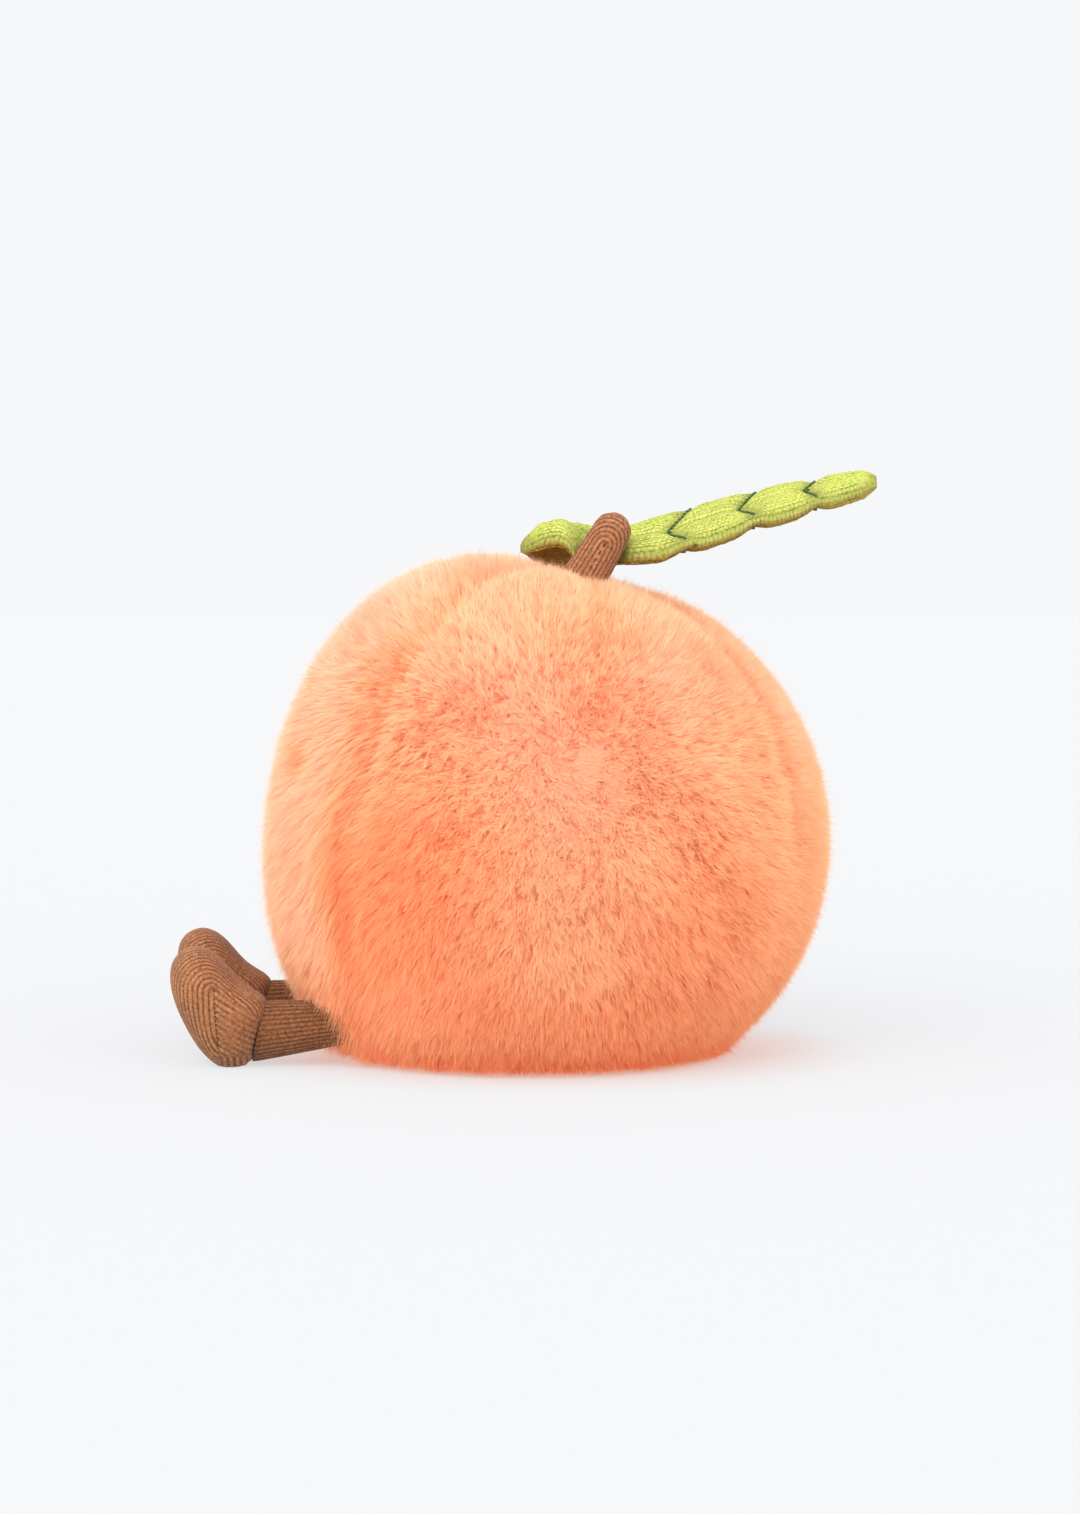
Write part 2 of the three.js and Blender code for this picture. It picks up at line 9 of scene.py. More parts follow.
import bpy
import numpy as np
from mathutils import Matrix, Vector


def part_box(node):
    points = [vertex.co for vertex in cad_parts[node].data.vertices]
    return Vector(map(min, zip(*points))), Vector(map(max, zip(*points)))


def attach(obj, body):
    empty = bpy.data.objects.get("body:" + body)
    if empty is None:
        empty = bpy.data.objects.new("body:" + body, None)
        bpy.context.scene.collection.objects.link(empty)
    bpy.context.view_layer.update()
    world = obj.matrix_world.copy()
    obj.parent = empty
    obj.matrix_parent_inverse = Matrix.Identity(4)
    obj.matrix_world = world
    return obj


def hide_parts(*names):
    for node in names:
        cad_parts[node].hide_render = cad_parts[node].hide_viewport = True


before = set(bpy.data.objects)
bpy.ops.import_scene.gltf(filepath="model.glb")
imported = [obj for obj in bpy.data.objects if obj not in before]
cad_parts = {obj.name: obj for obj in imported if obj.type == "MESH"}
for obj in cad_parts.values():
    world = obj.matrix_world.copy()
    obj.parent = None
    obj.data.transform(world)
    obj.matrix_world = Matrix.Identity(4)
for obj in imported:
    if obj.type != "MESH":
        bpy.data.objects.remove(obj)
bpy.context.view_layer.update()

# ---- driving sizes, as in the solids

BODY_CENTRE = np.array([0.0, 0.0, 54.5])
BODY_TILT = math.radians(8)
BODY_RADIUS = 70.7
BODY_WIDTH_SCALE = 0.96
SHOULDER = 1.2
FRONT_CROWN = 7.8
DIMPLE_DEPTH = 4.7
DIMPLE_WIDTH = 22
HAUNCH = 0.2
FLOOR_ROUNDING = 2
CROWN_RING_ANGLE = 0.065
SEAM_DEPTH = 2.0
SEAM_WIDTH = 4.5
SEAM_FADE = 16
SEAM_AZIMUTHS = (40, 89, 147)
BASE_RADIUS = 36
BASE_CENTRE_Y = -2.5

STEM_BASE = np.array([0, 9.6, 119.6])
STEM_LEAN = math.radians(30.5)
STEM_ROOT = 6
STEM_HEIGHT = 17.6
STEM_HALF_DEPTH = 5.5
STEM_TOP_HALF_DEPTH = 4.7
STEM_FLATNESS = 0.78

LEG_X = 21
LEG_ANKLE_Y = -70.4
RIGHT_REACH = 1.6
LEG_ROOT_Y = -46
ANKLE_HALF_WIDTH, ANKLE_HALF_HEIGHT, ANKLE_Z = 7.6, 7.4, 8.2
HIP_HALF_WIDTH, HIP_HALF_HEIGHT, HIP_Z = 6.8, 5.0, 10.9
ANKLE_SLOPE = 0.22

FOOT_Y, FOOT_Z = -82, 14.0
FOOT_LEAN = math.radians(26.5)
FOOT_HALF_LENGTH = 16
FOOT_HALF_DEPTH = 8
FOOT_HALF_WIDTH = 13
FOOT_SQUARENESS = 2.3
INSTEP_REACH, INSTEP_ALONG, INSTEP_SPREAD = 4.6, -5, 6

LEAF_FRONT_Y = -6.7
LEAF_TIP_Y = 83
LEAF_X = -13
GATHER_FRONT, GATHER_BACK, GATHER_Y = 9, 17, 11
GATHER_HALF_WIDTH, GATHER_DIP, GATHER_SPREAD = 7.3, 9.5, 4.2
LEAF_NEAR_DROOP = 2.6
LEAF_HALF_WIDTH = 20
LEAF_LOBE_HALF_WIDTH = 12
LEAF_LOBE_DROOP = 8
LEAF_ROLL = 0.11
LEAF_CLOTH = 1.0
LEAF_PUFF_TOP, LEAF_PUFF_UNDER = 2.0, 1.0
LEAF_VEINS_Y = (30, 48, 64.5)
LEAF_FAR_SWEEP, LEAF_NEAR_SWEEP = 9.5, 6.0
LEAF_FOLD = 2.6
GATHER_MIDRIB_SHARE, GATHER_NEAR_SHARE = 0.15, 0.8    # of the dip, at the midrib and near edge
LEAF_STEPS = 30             # along the leaf

# ---- sizes of the finish

SKIN_DEPTH = 4.4            # the cloth that the pile grows from, under the fur's outside
SKIN_THICKNESS = 1.2
STRANDS = 700_000           # on the whole body
STRANDS_PER_TUFT = 5
TUFT_RADIUS = 0.40
TUFT_PULL = 0.33            # how far the tips of a tuft draw together
STRAND_HALF_WIDTH = 0.11    # at the root
GORE_LENGTH = 2.4 * BODY_RADIUS     # from crown to base, about
STRAY_SHARE = 0.06          # of the strands, which stand out past the others
STRAY_LENGTHS = (0.8, 2.4)
FRINGE_LENGTH = 1.8         # how much longer the pile is over the legs' roots
SEAM_SHADE, SEAM_SHADE_WIDTH = 0.6, 1.2       # painted shade: how much deeper the pile is coloured in a seam's groove
TUFT_MOTTLING, STRAND_MOTTLING = 0.06, 0.16     # spread of the tone, where the blush is even
FLOOR_SHADE_REACH = 0.1             # painted shade by the floor: how little of their pale colour the tips keep there
FLOOR_SHADE_HEIGHTS = (2, 13)       # from there to their full paleness
PILE_SHADING = 0.45         # how much a strand's own facing shows in how it is lit

# How the pile leans, as a sideways run for an outward step of 1.
HANG, COMBED_HANG, CROWN_LIFT = 0.30, 0.85, 0.34
SWIRL_LENGTHS = (30, 28)    # of the slow waves in it, down and sideways
SEAM_PARTING, SEAM_PARTING_WIDTH = 0.25, 1.6
FLOOR_SPLAY = 0.9
TUFT_SPREAD, STRAND_SPREAD = 0.26, 0.2  # at random, of a tuft and of a strand in it
TUFT_LEAN, STRAND_LEAN = 0.8, 0.9       # how much of it their tips take up

WALE_PITCH = 1.35
WALE_DEPTH = 0.38
LEAF_WALES = 15             # on each side of the leaf's midrib
LEAF_WALE_DEPTH = 0.16
NUB_PITCH, NUB_HEIGHT = 1.1, 0.09
LEAF_NEAR_PUFF = 1.35       # how many times as far the near half of the top cloth swells
LEAF_SCALLOP = 1.2          # how far the near edge hangs down between the veins
LOBE_RIM = 1.6              # how far the lobe's near rim rolls down

# Stitches: length, gap, radius and how far they arch out of the cloth.
VEIN_STITCH = (1.5, 0.9, 0.36, 0.25)
MIDRIB_STITCH = (1.4, 1.2, 0.30, 0.2)
FOOT_STITCH = (0.55, 0.5, 0.17, 0.1)
ANKLE_STITCH = (0.6, 0.6, 0.15, 0.08)
STEM_STITCH = (1.2, 0.9, 0.28, 0.2)

MM = 0.001
panel_low, panel_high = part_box("base_panel")
ROW_SHIFT = np.array([0, (panel_low.y + panel_high.y) / 2 / MM - BASE_CENTRE_Y, 0])

AXIS_UP = np.array([0, math.sin(BODY_TILT), math.cos(BODY_TILT)])
AXIS_BACK = np.array([0, math.cos(BODY_TILT), -math.sin(BODY_TILT)])


# ---- small helpers

def unit(vectors):
    return vectors / np.linalg.norm(vectors, axis=-1, keepdims=True)


def lerp(a, b, share):
    return a + (b - a) * share


def smoothstep(x, low, high):
    share = np.clip((x - low) / (high - low), 0, 1)
    return share * share * (3 - 2 * share)


def bell(x, width):
    return np.exp(-((x / width) ** 2))


def xyz(x, y, z):
    """Places from their coordinates, any of which may be one number for all."""
    return np.stack(np.broadcast_arrays(x, y, z), -1)


def circle(count):
    """Angles spaced evenly round a circle."""
    return np.arange(count) / count * 2 * math.pi


def waves(points, length, seed, count=12):
    """Smooth noise, about -1 to 1: a sum of plane waves of about that length in millimetres."""
    rng = np.random.default_rng(seed)
    directions = unit(rng.normal(size=(count, 3)))
    steps = 2 * math.pi / length * rng.uniform(0.6, 1.4, size=(count, 1))
    phases = rng.uniform(0, 2 * math.pi, size=count)
    total = np.zeros(points.shape[:-1])
    for direction, phase in zip(directions * steps, phases):
        total += np.cos(points @ direction + phase)
    return total / math.sqrt(count)


def make_object(name, points, faces, uv, floats, material, normals=None):
    """A mesh piece from arrays: points in millimetres, faces of one size, a UV per face corner,
    named numbers per point and, where given, the normals that its points are lit by."""
    mesh = bpy.data.meshes.new(name)
    corners = faces.shape[1]
    mesh.vertices.add(len(points))
    mesh.vertices.foreach_set("co", ((points + ROW_SHIFT) * MM).astype(np.float32).ravel())
    mesh.loops.add(faces.size)
    mesh.loops.foreach_set("vertex_index", faces.astype(np.int32).ravel())
    mesh.polygons.add(len(faces))
    mesh.polygons.foreach_set("loop_start", np.arange(0, faces.size, corners, dtype=np.int32))
    mesh.polygons.foreach_set("use_smooth", np.full(len(faces), True))
    for key, values in floats.items():
        layer = mesh.attributes.new(key, "FLOAT", "POINT")
        layer.data.foreach_set("value", np.asarray(values, np.float32))
    if normals is not None:
        layer = mesh.attributes.new("custom_normal", "FLOAT_VECTOR", "POINT")
        layer.data.foreach_set("vector", normals.astype(np.float32).ravel())
    layer = mesh.uv_layers.new(name="OFBake")
    layer.uv.foreach_set("vector", uv.astype(np.float32).ravel())
    mesh.update(calc_edges=True)
    mesh.materials.append(material)
    piece = bpy.data.objects.new(name, mesh)
    bpy.context.scene.collection.objects.link(piece)
    return piece


def finish_piece(piece, nodes=()):
    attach(piece, "root")
    if nodes:
        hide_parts(*nodes)


def ring_normals(rings):
    """Unit normals of rings of points, which close on themselves."""
    around = np.roll(rings, -1, axis=1) - np.roll(rings, 1, axis=1)
    normals = np.cross(around, np.gradient(rings, axis=0))
    length = np.linalg.norm(normals, axis=-1, keepdims=True)
    return normals / np.maximum(length, 1e-9)


def cell_uv(u, v, du, dv):
    """UV corners of the two triangles of each cell of a grid."""
    return np.stack([u, v, u + du, v, u + du, v + dv, u, v, u + du, v + dv, u, v + dv], -1)


def tube_faces(rings, columns):
    """Triangles of a closed form: rings of points between two end points, which come last."""
    count = rings * columns
    index = np.arange(count).reshape(rings, columns)
    index = np.pad(index, ((1, 1), (0, 0)), constant_values=((count, count + 1), (0, 0)))
    beside = np.roll(index, -1, axis=1)
    a, b, c, d = index[:-1], beside[:-1], index[1:], beside[1:]
    faces = np.stack([a, b, d, a, d, c], -1).reshape(-1, 3)
    row, column = np.indices(a.shape)
    uv = cell_uv(column / columns, row / (rings + 1), 1 / columns, 1 / (rings + 1))
    whole = (faces[:, 0] != faces[:, 1]) & (faces[:, 1] != faces[:, 2])
    return faces[whole], uv.reshape(-1, 3, 2)[whole].reshape(-1, 2)


def sheet_faces(rows, columns):
    """Triangles of a closed sheet: a grid of upper points, then the same grid of lower points."""
    row, column = np.meshgrid(np.arange(rows - 1), np.arange(columns - 1), indexing="ij")
    a = row * columns + column
    corners = np.stack([a, a + 1, a + columns + 1, a, a + columns + 1, a + columns], -1)
    u, v = column / (columns - 1), row / (rows - 1)
    du, dv = 1 / (columns - 1), 1 / (rows - 1)
    uv = cell_uv(u, v, du, dv)
    top, top_uv = corners.reshape(-1, 3), uv.reshape(-1, 3, 2) * [0.5, 1]
    count = rows * columns
    under, under_uv = top[:, ::-1] + count, top_uv[:, ::-1] + [0.5, 0]
    i, j = np.arange(columns - 1), np.arange(rows - 1) * columns
    rims = [(i, i + 1), ((rows - 1) * columns + i + 1, (rows - 1) * columns + i),
            (j + columns, j), (j + columns - 1, j + 2 * columns - 1)]
    faces, maps = [top, under], [top_uv, under_uv]
    for one, two in rims:
        strip = np.stack([one, one + count, two, two, one + count, two + count], -1)
        faces.append(strip.reshape(-1, 3))
        places = np.stack([one % columns / (columns - 1) * 0.5, one // columns / (rows - 1)], -1)
        maps.append(np.repeat(places, 6, axis=0).reshape(-1, 3, 2))
    return np.concatenate(faces), np.concatenate(maps).reshape(-1, 2)


# ---- materials

class Nodes:
    """A material's node tree, with short calls for the nodes used here."""

    def __init__(self, name):
        self.material = bpy.data.materials.new(name)
        self.material.use_nodes = True
        self.tree = self.material.node_tree
        self.tree.nodes.clear()
        self.output = self.tree.nodes.new("ShaderNodeOutputMaterial")

    def add(self, kind, inputs=None, **settings):
        node = self.tree.nodes.new(kind)
        for key, value in settings.items():
            setattr(node, key, value)
        for key, value in (inputs or {}).items():
            if isinstance(value, bpy.types.NodeSocket):
                self.tree.links.new(value, node.inputs[key])
            else:
                node.inputs[key].default_value = value
        return node

    def attribute(self, name):
        return self.add("ShaderNodeAttribute", attribute_name=name).outputs["Fac"]

    def ramp(self, factor, stops):
        node = self.add("ShaderNodeValToRGB", {"Fac": factor})
        elements = node.color_ramp.elements
        while len(elements) < len(stops):
            elements.new(0.5)
        for element, (place, colour) in zip(elements, stops):
            element.position = place
            element.color = (*colour, 1)
        return node.outputs["Color"]

    def mix(self, factor, one, two, blend="MIX"):
        node = self.add("ShaderNodeMix", {0: factor}, data_type="RGBA", blend_type=blend)
        for index, value in ((6, one), (7, two)):
            if isinstance(value, bpy.types.NodeSocket):
                self.tree.links.new(value, node.inputs[index])
            else:
                node.inputs[index].default_value = (*value, 1)
        return node.outputs[2]

    def shade(self, colour, factor, low, high):
        """The colour times a grey between two pairs of a factor's value and a brightness."""
        grey = self.ramp(factor, [(place, (value,) * 3) for place, value in (low, high)])
        return self.mix(1.0, colour, grey, "MULTIPLY")

    def math(self, operation, one, two=0.0):
        node = self.add("ShaderNodeMath", {0: one, 1: two}, operation=operation)
        return node.outputs[0]

    def times(self, one, two):
        return self.math("MULTIPLY", one, two)

    def plus(self, one, two):
        return self.math("ADD", one, two)

    def rib(self):
        """1 on the crest of a rib, 0 in the valley beside it."""
        return self.math("ABSOLUTE", self.math("SINE", self.times(self.attribute("wale"), math.pi)))

    def noise(self, scale, detail=2.0):
        place = self.add("ShaderNodeTexCoord").outputs["Object"]
        node = self.add("ShaderNodeTexNoise", {"Vector": place, "Scale": scale, "Detail": detail})
        return node.outputs["Fac"]

    def bump(self, height, distance, strength=1.0):
        node = self.add(
            "ShaderNodeBump", {"Height": height, "Distance": distance, "Strength": strength}
        )
        return node.outputs["Normal"]

    def principled(self, colour, roughness, specular, more):
        inputs = {"Base Color": colour, "Roughness": roughness, "Specular IOR Level": specular}
        return self.add("ShaderNodeBsdfPrincipled", {**inputs, **more}).outputs["BSDF"]

    def surface(self, shader):
        self.tree.links.new(shader, self.output.inputs["Surface"])
        return self.material


# Linear colours of the pile, from the palest place (the crown) to the deepest (low down).
PILE_TIPS = [
    (0.0, (0.91, 0.65, 0.48)),
    (0.5, (0.91, 0.64, 0.375)),
    (1.0, (0.91, 0.47, 0.24)),
]
PILE_ROOTS = [
    (0.0, (0.91, 0.54, 0.37)),
    (0.5, (0.91, 0.47, 0.245)),
    (1.0, (0.91, 0.27, 0.115)),
]
PAINTED_PILE_GLOW, PAINTED_PILE_GLOW_STRENGTH = (1.0, 0.24, 0.10), 0.11     # painted glow: an emission standing in for light scattered in the depth of the pile
CORD_FLECK = 0.4            # how much a corduroy's fibres differ in brightness
CORDUROYS = (               # of the feet, legs and stem: crest, middle and valley of a rib, the valley's darkness partly painted shade
    ("brown_corduroy", (0.275, 0.120, 0.053), (0.17, 0.065, 0.027), (0.065, 0.024, 0.009)),
    # The legs' darker copy is painted shade from the body's fur over them.
    ("leg_corduroy_painted_shade", (0.185, 0.073, 0.029), (0.105, 0.038, 0.015), (0.045, 0.017, 0.006)),
    ("stem_corduroy", (0.265, 0.112, 0.052), (0.165, 0.062, 0.028), (0.06, 0.021, 0.009)),
)


def plush_material(name):
    """Soft pile: saturated at the root, pale at the tip, letting a little light through, with a
    faint painted glow from its depth.
    """
    nodes = Nodes(name)
    tone, reach = nodes.attribute("tone"), nodes.attribute("reach")
    colour = nodes.mix(reach, nodes.ramp(tone, PILE_ROOTS), nodes.ramp(tone, PILE_TIPS))
    pile = nodes.principled(colour, 0.9, 0.05, {
        "Emission Color": (*PAINTED_PILE_GLOW, 1), "Emission Strength": PAINTED_PILE_GLOW_STRENGTH})
    through = nodes.add("ShaderNodeBsdfTranslucent", {"Color": colour}).outputs["BSDF"]
    mixed = nodes.add("ShaderNodeMixShader", {0: 0.5, 1: pile, 2: through})
    return nodes.surface(mixed.outputs["Shader"])


def ribbed_material(name, crest, middle, shaded_valley):
    """Brushed corduroy: pale crests, dark valleys partly of painted shade, short fibres in uneven
    flecks.

    The attribute wale counts the ribs across the cloth and ridge says how clear they are."""
    nodes = Nodes(name)
    ridge = nodes.attribute("ridge")
    depth = nodes.math("SUBTRACT", 1.0, nodes.math("POWER", nodes.rib(), 0.6))
    worn = nodes.times(nodes.math("SUBTRACT", 1.0, ridge), 0.3)
    depth = nodes.plus(nodes.times(depth, ridge), worn)
    # The valley colour's darkness is partly the cloth's own and partly painted shade.
    colour = nodes.ramp(depth, [(0.0, crest), (0.4, middle), (0.95, shaded_valley)])
    flecks = nodes.noise(1500, 3.0)
    colour = nodes.shade(colour, flecks, (0.32, 1 - CORD_FLECK), (0.7, 1 + CORD_FLECK))
    colour = nodes.shade(colour, nodes.noise(110), (0.3, 0.93), (0.7, 1.06))
    return nodes.surface(nodes.principled(colour, 0.92, 0.12, {
        "Sheen Weight": 0.1, "Sheen Roughness": 0.45,
        "Normal": nodes.bump(flecks, 0.00022, 0.7)}))


def nubby_material(name, crest, middle, shaded_valley):
    """Leaf cloth: rows of nubs, with painted shade in the creases where it is sewn down.

    The attribute wale counts the rows, along counts the nubs in a row, ridge says how clear
    they are and full how plump the cloth is."""
    nodes = Nodes(name)
    ridge = nodes.attribute("ridge")
    half_step = nodes.times(nodes.math("FLOOR", nodes.attribute("wale")), 0.5)
    count = nodes.plus(nodes.attribute("along"), nodes.times(nodes.noise(450), 1.2))
    beat = nodes.math("SINE", nodes.times(nodes.plus(count, half_step), 2 * math.pi))
    nub = nodes.times(nodes.plus(beat, 1.0), 0.5)
    relief = nodes.times(nodes.rib(), nodes.plus(nodes.times(nub, 0.6), 0.4))
    plain = nodes.times(nodes.math("SUBTRACT", 1.0, ridge), 0.5)
    relief = nodes.plus(nodes.times(relief, ridge), plain)
    flecks = nodes.math("SUBTRACT", nodes.noise(1300, 3.0), 0.5)
    height = nodes.plus(relief, nodes.times(flecks, 1.1))
    # The darker low places of the relief are partly painted shade.
    colour = nodes.ramp(height, [(0.05, shaded_valley), (0.42, middle), (0.85, crest)])
    # Painted shade in the quilting's creases, where the cloth is sewn down.
    colour = nodes.shade(colour, nodes.attribute("full"), (0.0, 0.6), (0.5, 1.0))
    return nodes.surface(nodes.principled(
        colour, 0.95, 0.08, {"Normal": nodes.bump(height, 0.00035, 0.7)}))


def thread_material(name, dark, light):
    """Twisted sewing thread."""
    nodes = Nodes(name)
    colour = nodes.ramp(nodes.noise(2600, 1.0), [(0.35, dark), (0.65, light)])
    return nodes.surface(nodes.principled(colour, 0.65, 0.3, {}))


def fibre_material(name, colour, scale):
    """Loose filling or plain cloth: matt, with soft lumps."""
    nodes = Nodes(name)
    lumps = nodes.noise(scale, 4.0)
    dark = tuple(0.85 * channel for channel in colour)
    shaded = nodes.ramp(lumps, [(0.3, dark), (0.7, colour)])
    return nodes.surface(nodes.principled(shaded, 0.95, 0.1, {"Normal": nodes.bump(lumps, 0.0008)}))


# ---- the camera

CAMERA_DISTANCE = 1100
CAMERA_ELEVATION = math.radians(4)
CAMERA_TARGET = np.array([0, -1.75, 74.4])
PIXELS_PER_MM = 4.0       # at the target, in the picture's 1514 px height
PICTURE_HEIGHT = 1514
SENSOR_MM = 36


def make_camera():
    camera = bpy.data.objects.new("camera", bpy.data.cameras.new("camera"))
    back = np.array([math.cos(CAMERA_ELEVATION), 0, math.sin(CAMERA_ELEVATION)])
    camera.location = (CAMERA_TARGET + back * CAMERA_DISTANCE + ROW_SHIFT) * MM
    camera.rotation_euler = Vector(-back).to_track_quat("-Z", "Y").to_euler()
    shown_height = PICTURE_HEIGHT / PIXELS_PER_MM
    camera.data.sensor_width = SENSOR_MM
    camera.data.lens = SENSOR_MM * CAMERA_DISTANCE / shown_height
    bpy.context.scene.collection.objects.link(camera)
    bpy.context.scene.camera = camera


# ---- the body's surface

def mirrored(points):
    """The same places, with those on the right side moved over to the left."""
    x, y, z = np.moveaxis(points, -1, 0)
    return xyz(np.abs(x), y, z)


def smooth_min(a, b, rounding):
    return 0.5 * (a + b - np.hypot(a - b, rounding))


def fur_radius(direction):
    """Outer radius of the fur along unit directions from the body's centre."""
    up, back = direction @ AXIS_UP, direction @ AXIS_BACK
    sideways = np.hypot(direction[..., 0], back)
    fullness = (2 * up * sideways) ** 2
    radius = BODY_RADIUS + SHOULDER * fullness - FRONT_CROWN * up * up * back
    dimple = DIMPLE_DEPTH * bell(sideways * BODY_RADIUS, DIMPLE_WIDTH)
    radius = radius + np.where(up > 0, -dimple, HAUNCH * fullness)
    down = np.maximum(-direction[..., 2], 1e-6)
    pressed = smooth_min(radius, BODY_CENTRE[2] / down, FLOOR_ROUNDING)
    return np.where(direction[..., 2] < 0, pressed, radius)


def body_point(direction, depth):
    points = direction * (fur_radius(direction) - depth)[..., None]
    return points * [BODY_WIDTH_SCALE, 1, 1] + BODY_CENTRE


def seam_direction(azimuth, travel):
    """Unit direction at an azimuth from the front, from the crown ring (0) to the base (1)."""
    sine, cosine = np.sin(azimuth), np.cos(azimuth)
    crown = math.cos(CROWN_RING_ANGLE) * AXIS_UP - (
        math.sin(CROWN_RING_ANGLE) * cosine[..., None] * AXIS_BACK)
    crown[..., 0] = sine * math.sin(CROWN_RING_ANGLE)
    base = unit(xyz(BASE_RADIUS * sine, BASE_CENTRE_Y - BASE_RADIUS * cosine, -BODY_CENTRE[2]))
    angle = np.arccos(np.sum(crown * base, -1))
    one = np.sin((1 - travel) * angle) / np.sin(angle)
    two = np.sin(travel * angle) / np.sin(angle)
    return crown * one[..., None] + base * two[..., None]


SIDE_SEAM = math.radians(SEAM_AZIMUTHS[1])
SEAM_HIDDEN = 0.85          # how much of a seam the pile hides low down
DENT_TOWARDS = np.array([25.6, -60.6, 23.9]) / 70   # from the body's centre
# The dent's deeper tone is painted shade in its hollow.
DENT_RADIUS, DENT_DEPTH, DENT_SHADE = 4.4, 2.6, 0.75


def dent_share(points):
    """1 in the middle of the one small soft dent each side of the front, 0 away from it."""
    offset = unit(mirrored(points) - BODY_CENTRE) - unit(DENT_TOWARDS)
    return bell(BODY_RADIUS * np.linalg.norm(offset, axis=-1), DENT_RADIUS)


class Gore:
    """One wedge of plush between two seams."""

    def __init__(self, word, start, end):
        self.word = word
        self.start, self.end = math.radians(start), math.radians(end)
        self.span = self.end - self.start

    def direction(self, across, travel):
        return seam_direction(self.start + self.span * across, travel)

    def ring_radius(self, direction):
        return BODY_RADIUS * np.hypot(direction[..., 0], direction @ AXIS_BACK)

    def seam(self, across, travel, direction):
        """Distance to the nearer seam and how clearly it shows there, 0 to 1."""
        ring = self.ring_radius(direction)
        distance = ring * self.span * np.minimum(across, 1 - across)
        azimuth = np.abs(np.where(across < 0.5, self.start, self.end))
        hidden = np.where(np.abs(azimuth - SIDE_SEAM) < 0.01, smoothstep(travel, 0.2, 0.42),
                          np.where(azimuth > SIDE_SEAM, smoothstep(travel, 0.45, 0.62),
                                   smoothstep(travel, 0.7, 0.9)))
        return distance, np.minimum(1, ring / SEAM_FADE) ** 2 * (1 - SEAM_HIDDEN * hidden)

    def point(self, across, travel, depth, groove=1.0):
        """A point at that depth under the fur's outside, which the seams draw in."""
        direction = self.direction(across, travel)
        distance, clearness = self.seam(across, travel, direction)
        drawn_in = groove * SEAM_DEPTH * clearness * bell(distance, SEAM_WIDTH)
        points = body_point(direction, depth + drawn_in)
        return points - direction * (groove * DENT_DEPTH * dent_share(points))[..., None]

    def frame(self, across, travel):
        """Outward, downward and sideways unit vectors of the smooth body at those places."""
        step = 0.004
        down = self.point(across, travel + step, 0, 0) - self.point(across, travel - step, 0, 0)
        side = self.point(across + step, travel, 0, 0) - self.point(across - step, travel, 0, 0)
        outward = unit(np.cross(side, down)) * -1
        down = unit(down)
        return outward, down, np.cross(down, outward) * -1


GORES = [
    Gore("front", -SEAM_AZIMUTHS[0], SEAM_AZIMUTHS[0]),
    Gore("front_side_left", SEAM_AZIMUTHS[0], SEAM_AZIMUTHS[1]),
    Gore("back_side_left", SEAM_AZIMUTHS[1], SEAM_AZIMUTHS[2]),
    Gore("back", SEAM_AZIMUTHS[2], 360 - SEAM_AZIMUTHS[2]),
    Gore("back_side_right", -SEAM_AZIMUTHS[2], -SEAM_AZIMUTHS[1]),
    Gore("front_side_right", -SEAM_AZIMUTHS[1], -SEAM_AZIMUTHS[0]),
]


BLUSH_HEIGHTS = (8, 19, 31, 44, 70, 95, 116)
BLUSH_TONES = (0.94, 0.86, 0.68, 0.46, 0.31, 0.23, 0.27)
CHEEKS = (                  # airbrushed blush: centre on the left side, radius, strength
    (np.array([60, -33, 52]), 25, 0.58),
    (np.array([44, -48, 48]), 20, 0.44),
    (np.array([60, 31, 46]), 24, 0.15),
    (np.array([40, 52, 56]), 20, 0.15),
)
SIDE_HIGHLIGHT_BAND = (2, 23, 16, 106)    # a painted highlight, a paler upright band: its middle, half width, bottom and top
SIDE_HIGHLIGHT_PALENESS = 0.24
FRONT_PALENESS = 0.36       # what is left of the tone on the front
FRONT_EDGE = (35, 43)       # the azimuths between which the front's paleness ends
FRONT_FOOT = (14, 34)       # the heights between which it begins


def pile_tone(points):
    """The pile's blush, 0 pale to 1 deep: pale at the crown, coral low down and on the cheeks, with
    a painted highlight in an upright band and painted shade in the dents.
    """
    _, y, z = np.moveaxis(points, -1, 0)
    tone = np.interp(z, BLUSH_HEIGHTS, BLUSH_TONES)
    left = mirrored(points)
    for centre, radius, strength in CHEEKS:
        tone = tone + strength * bell(np.linalg.norm(left - centre, axis=-1), radius)
    # Painted highlight: a paler upright band low on the side.
    middle, half_width, low, high = SIDE_HIGHLIGHT_BAND
    within = smoothstep(z, low, low + 12) * (1 - smoothstep(z, high - 20, high))
    tone = tone - SIDE_HIGHLIGHT_PALENESS * bell(y - middle, half_width) * within
    azimuth = np.degrees(np.arctan2(left[..., 0] / BODY_WIDTH_SCALE, -y))
    pale = (1 - smoothstep(azimuth, *FRONT_EDGE)) * smoothstep(z, *FRONT_FOOT)
    tone = tone * lerp(1, FRONT_PALENESS, pale)
    # The dent adds painted shade; the waves are random tone.
    return tone + DENT_SHADE * dent_share(points) + 0.04 * waves(points, 40, 7)


# ---- what stands in the fur

def reach_ahead(side):
    """How much further forward that side's leg reaches."""
    return RIGHT_REACH if side < 0 else 0


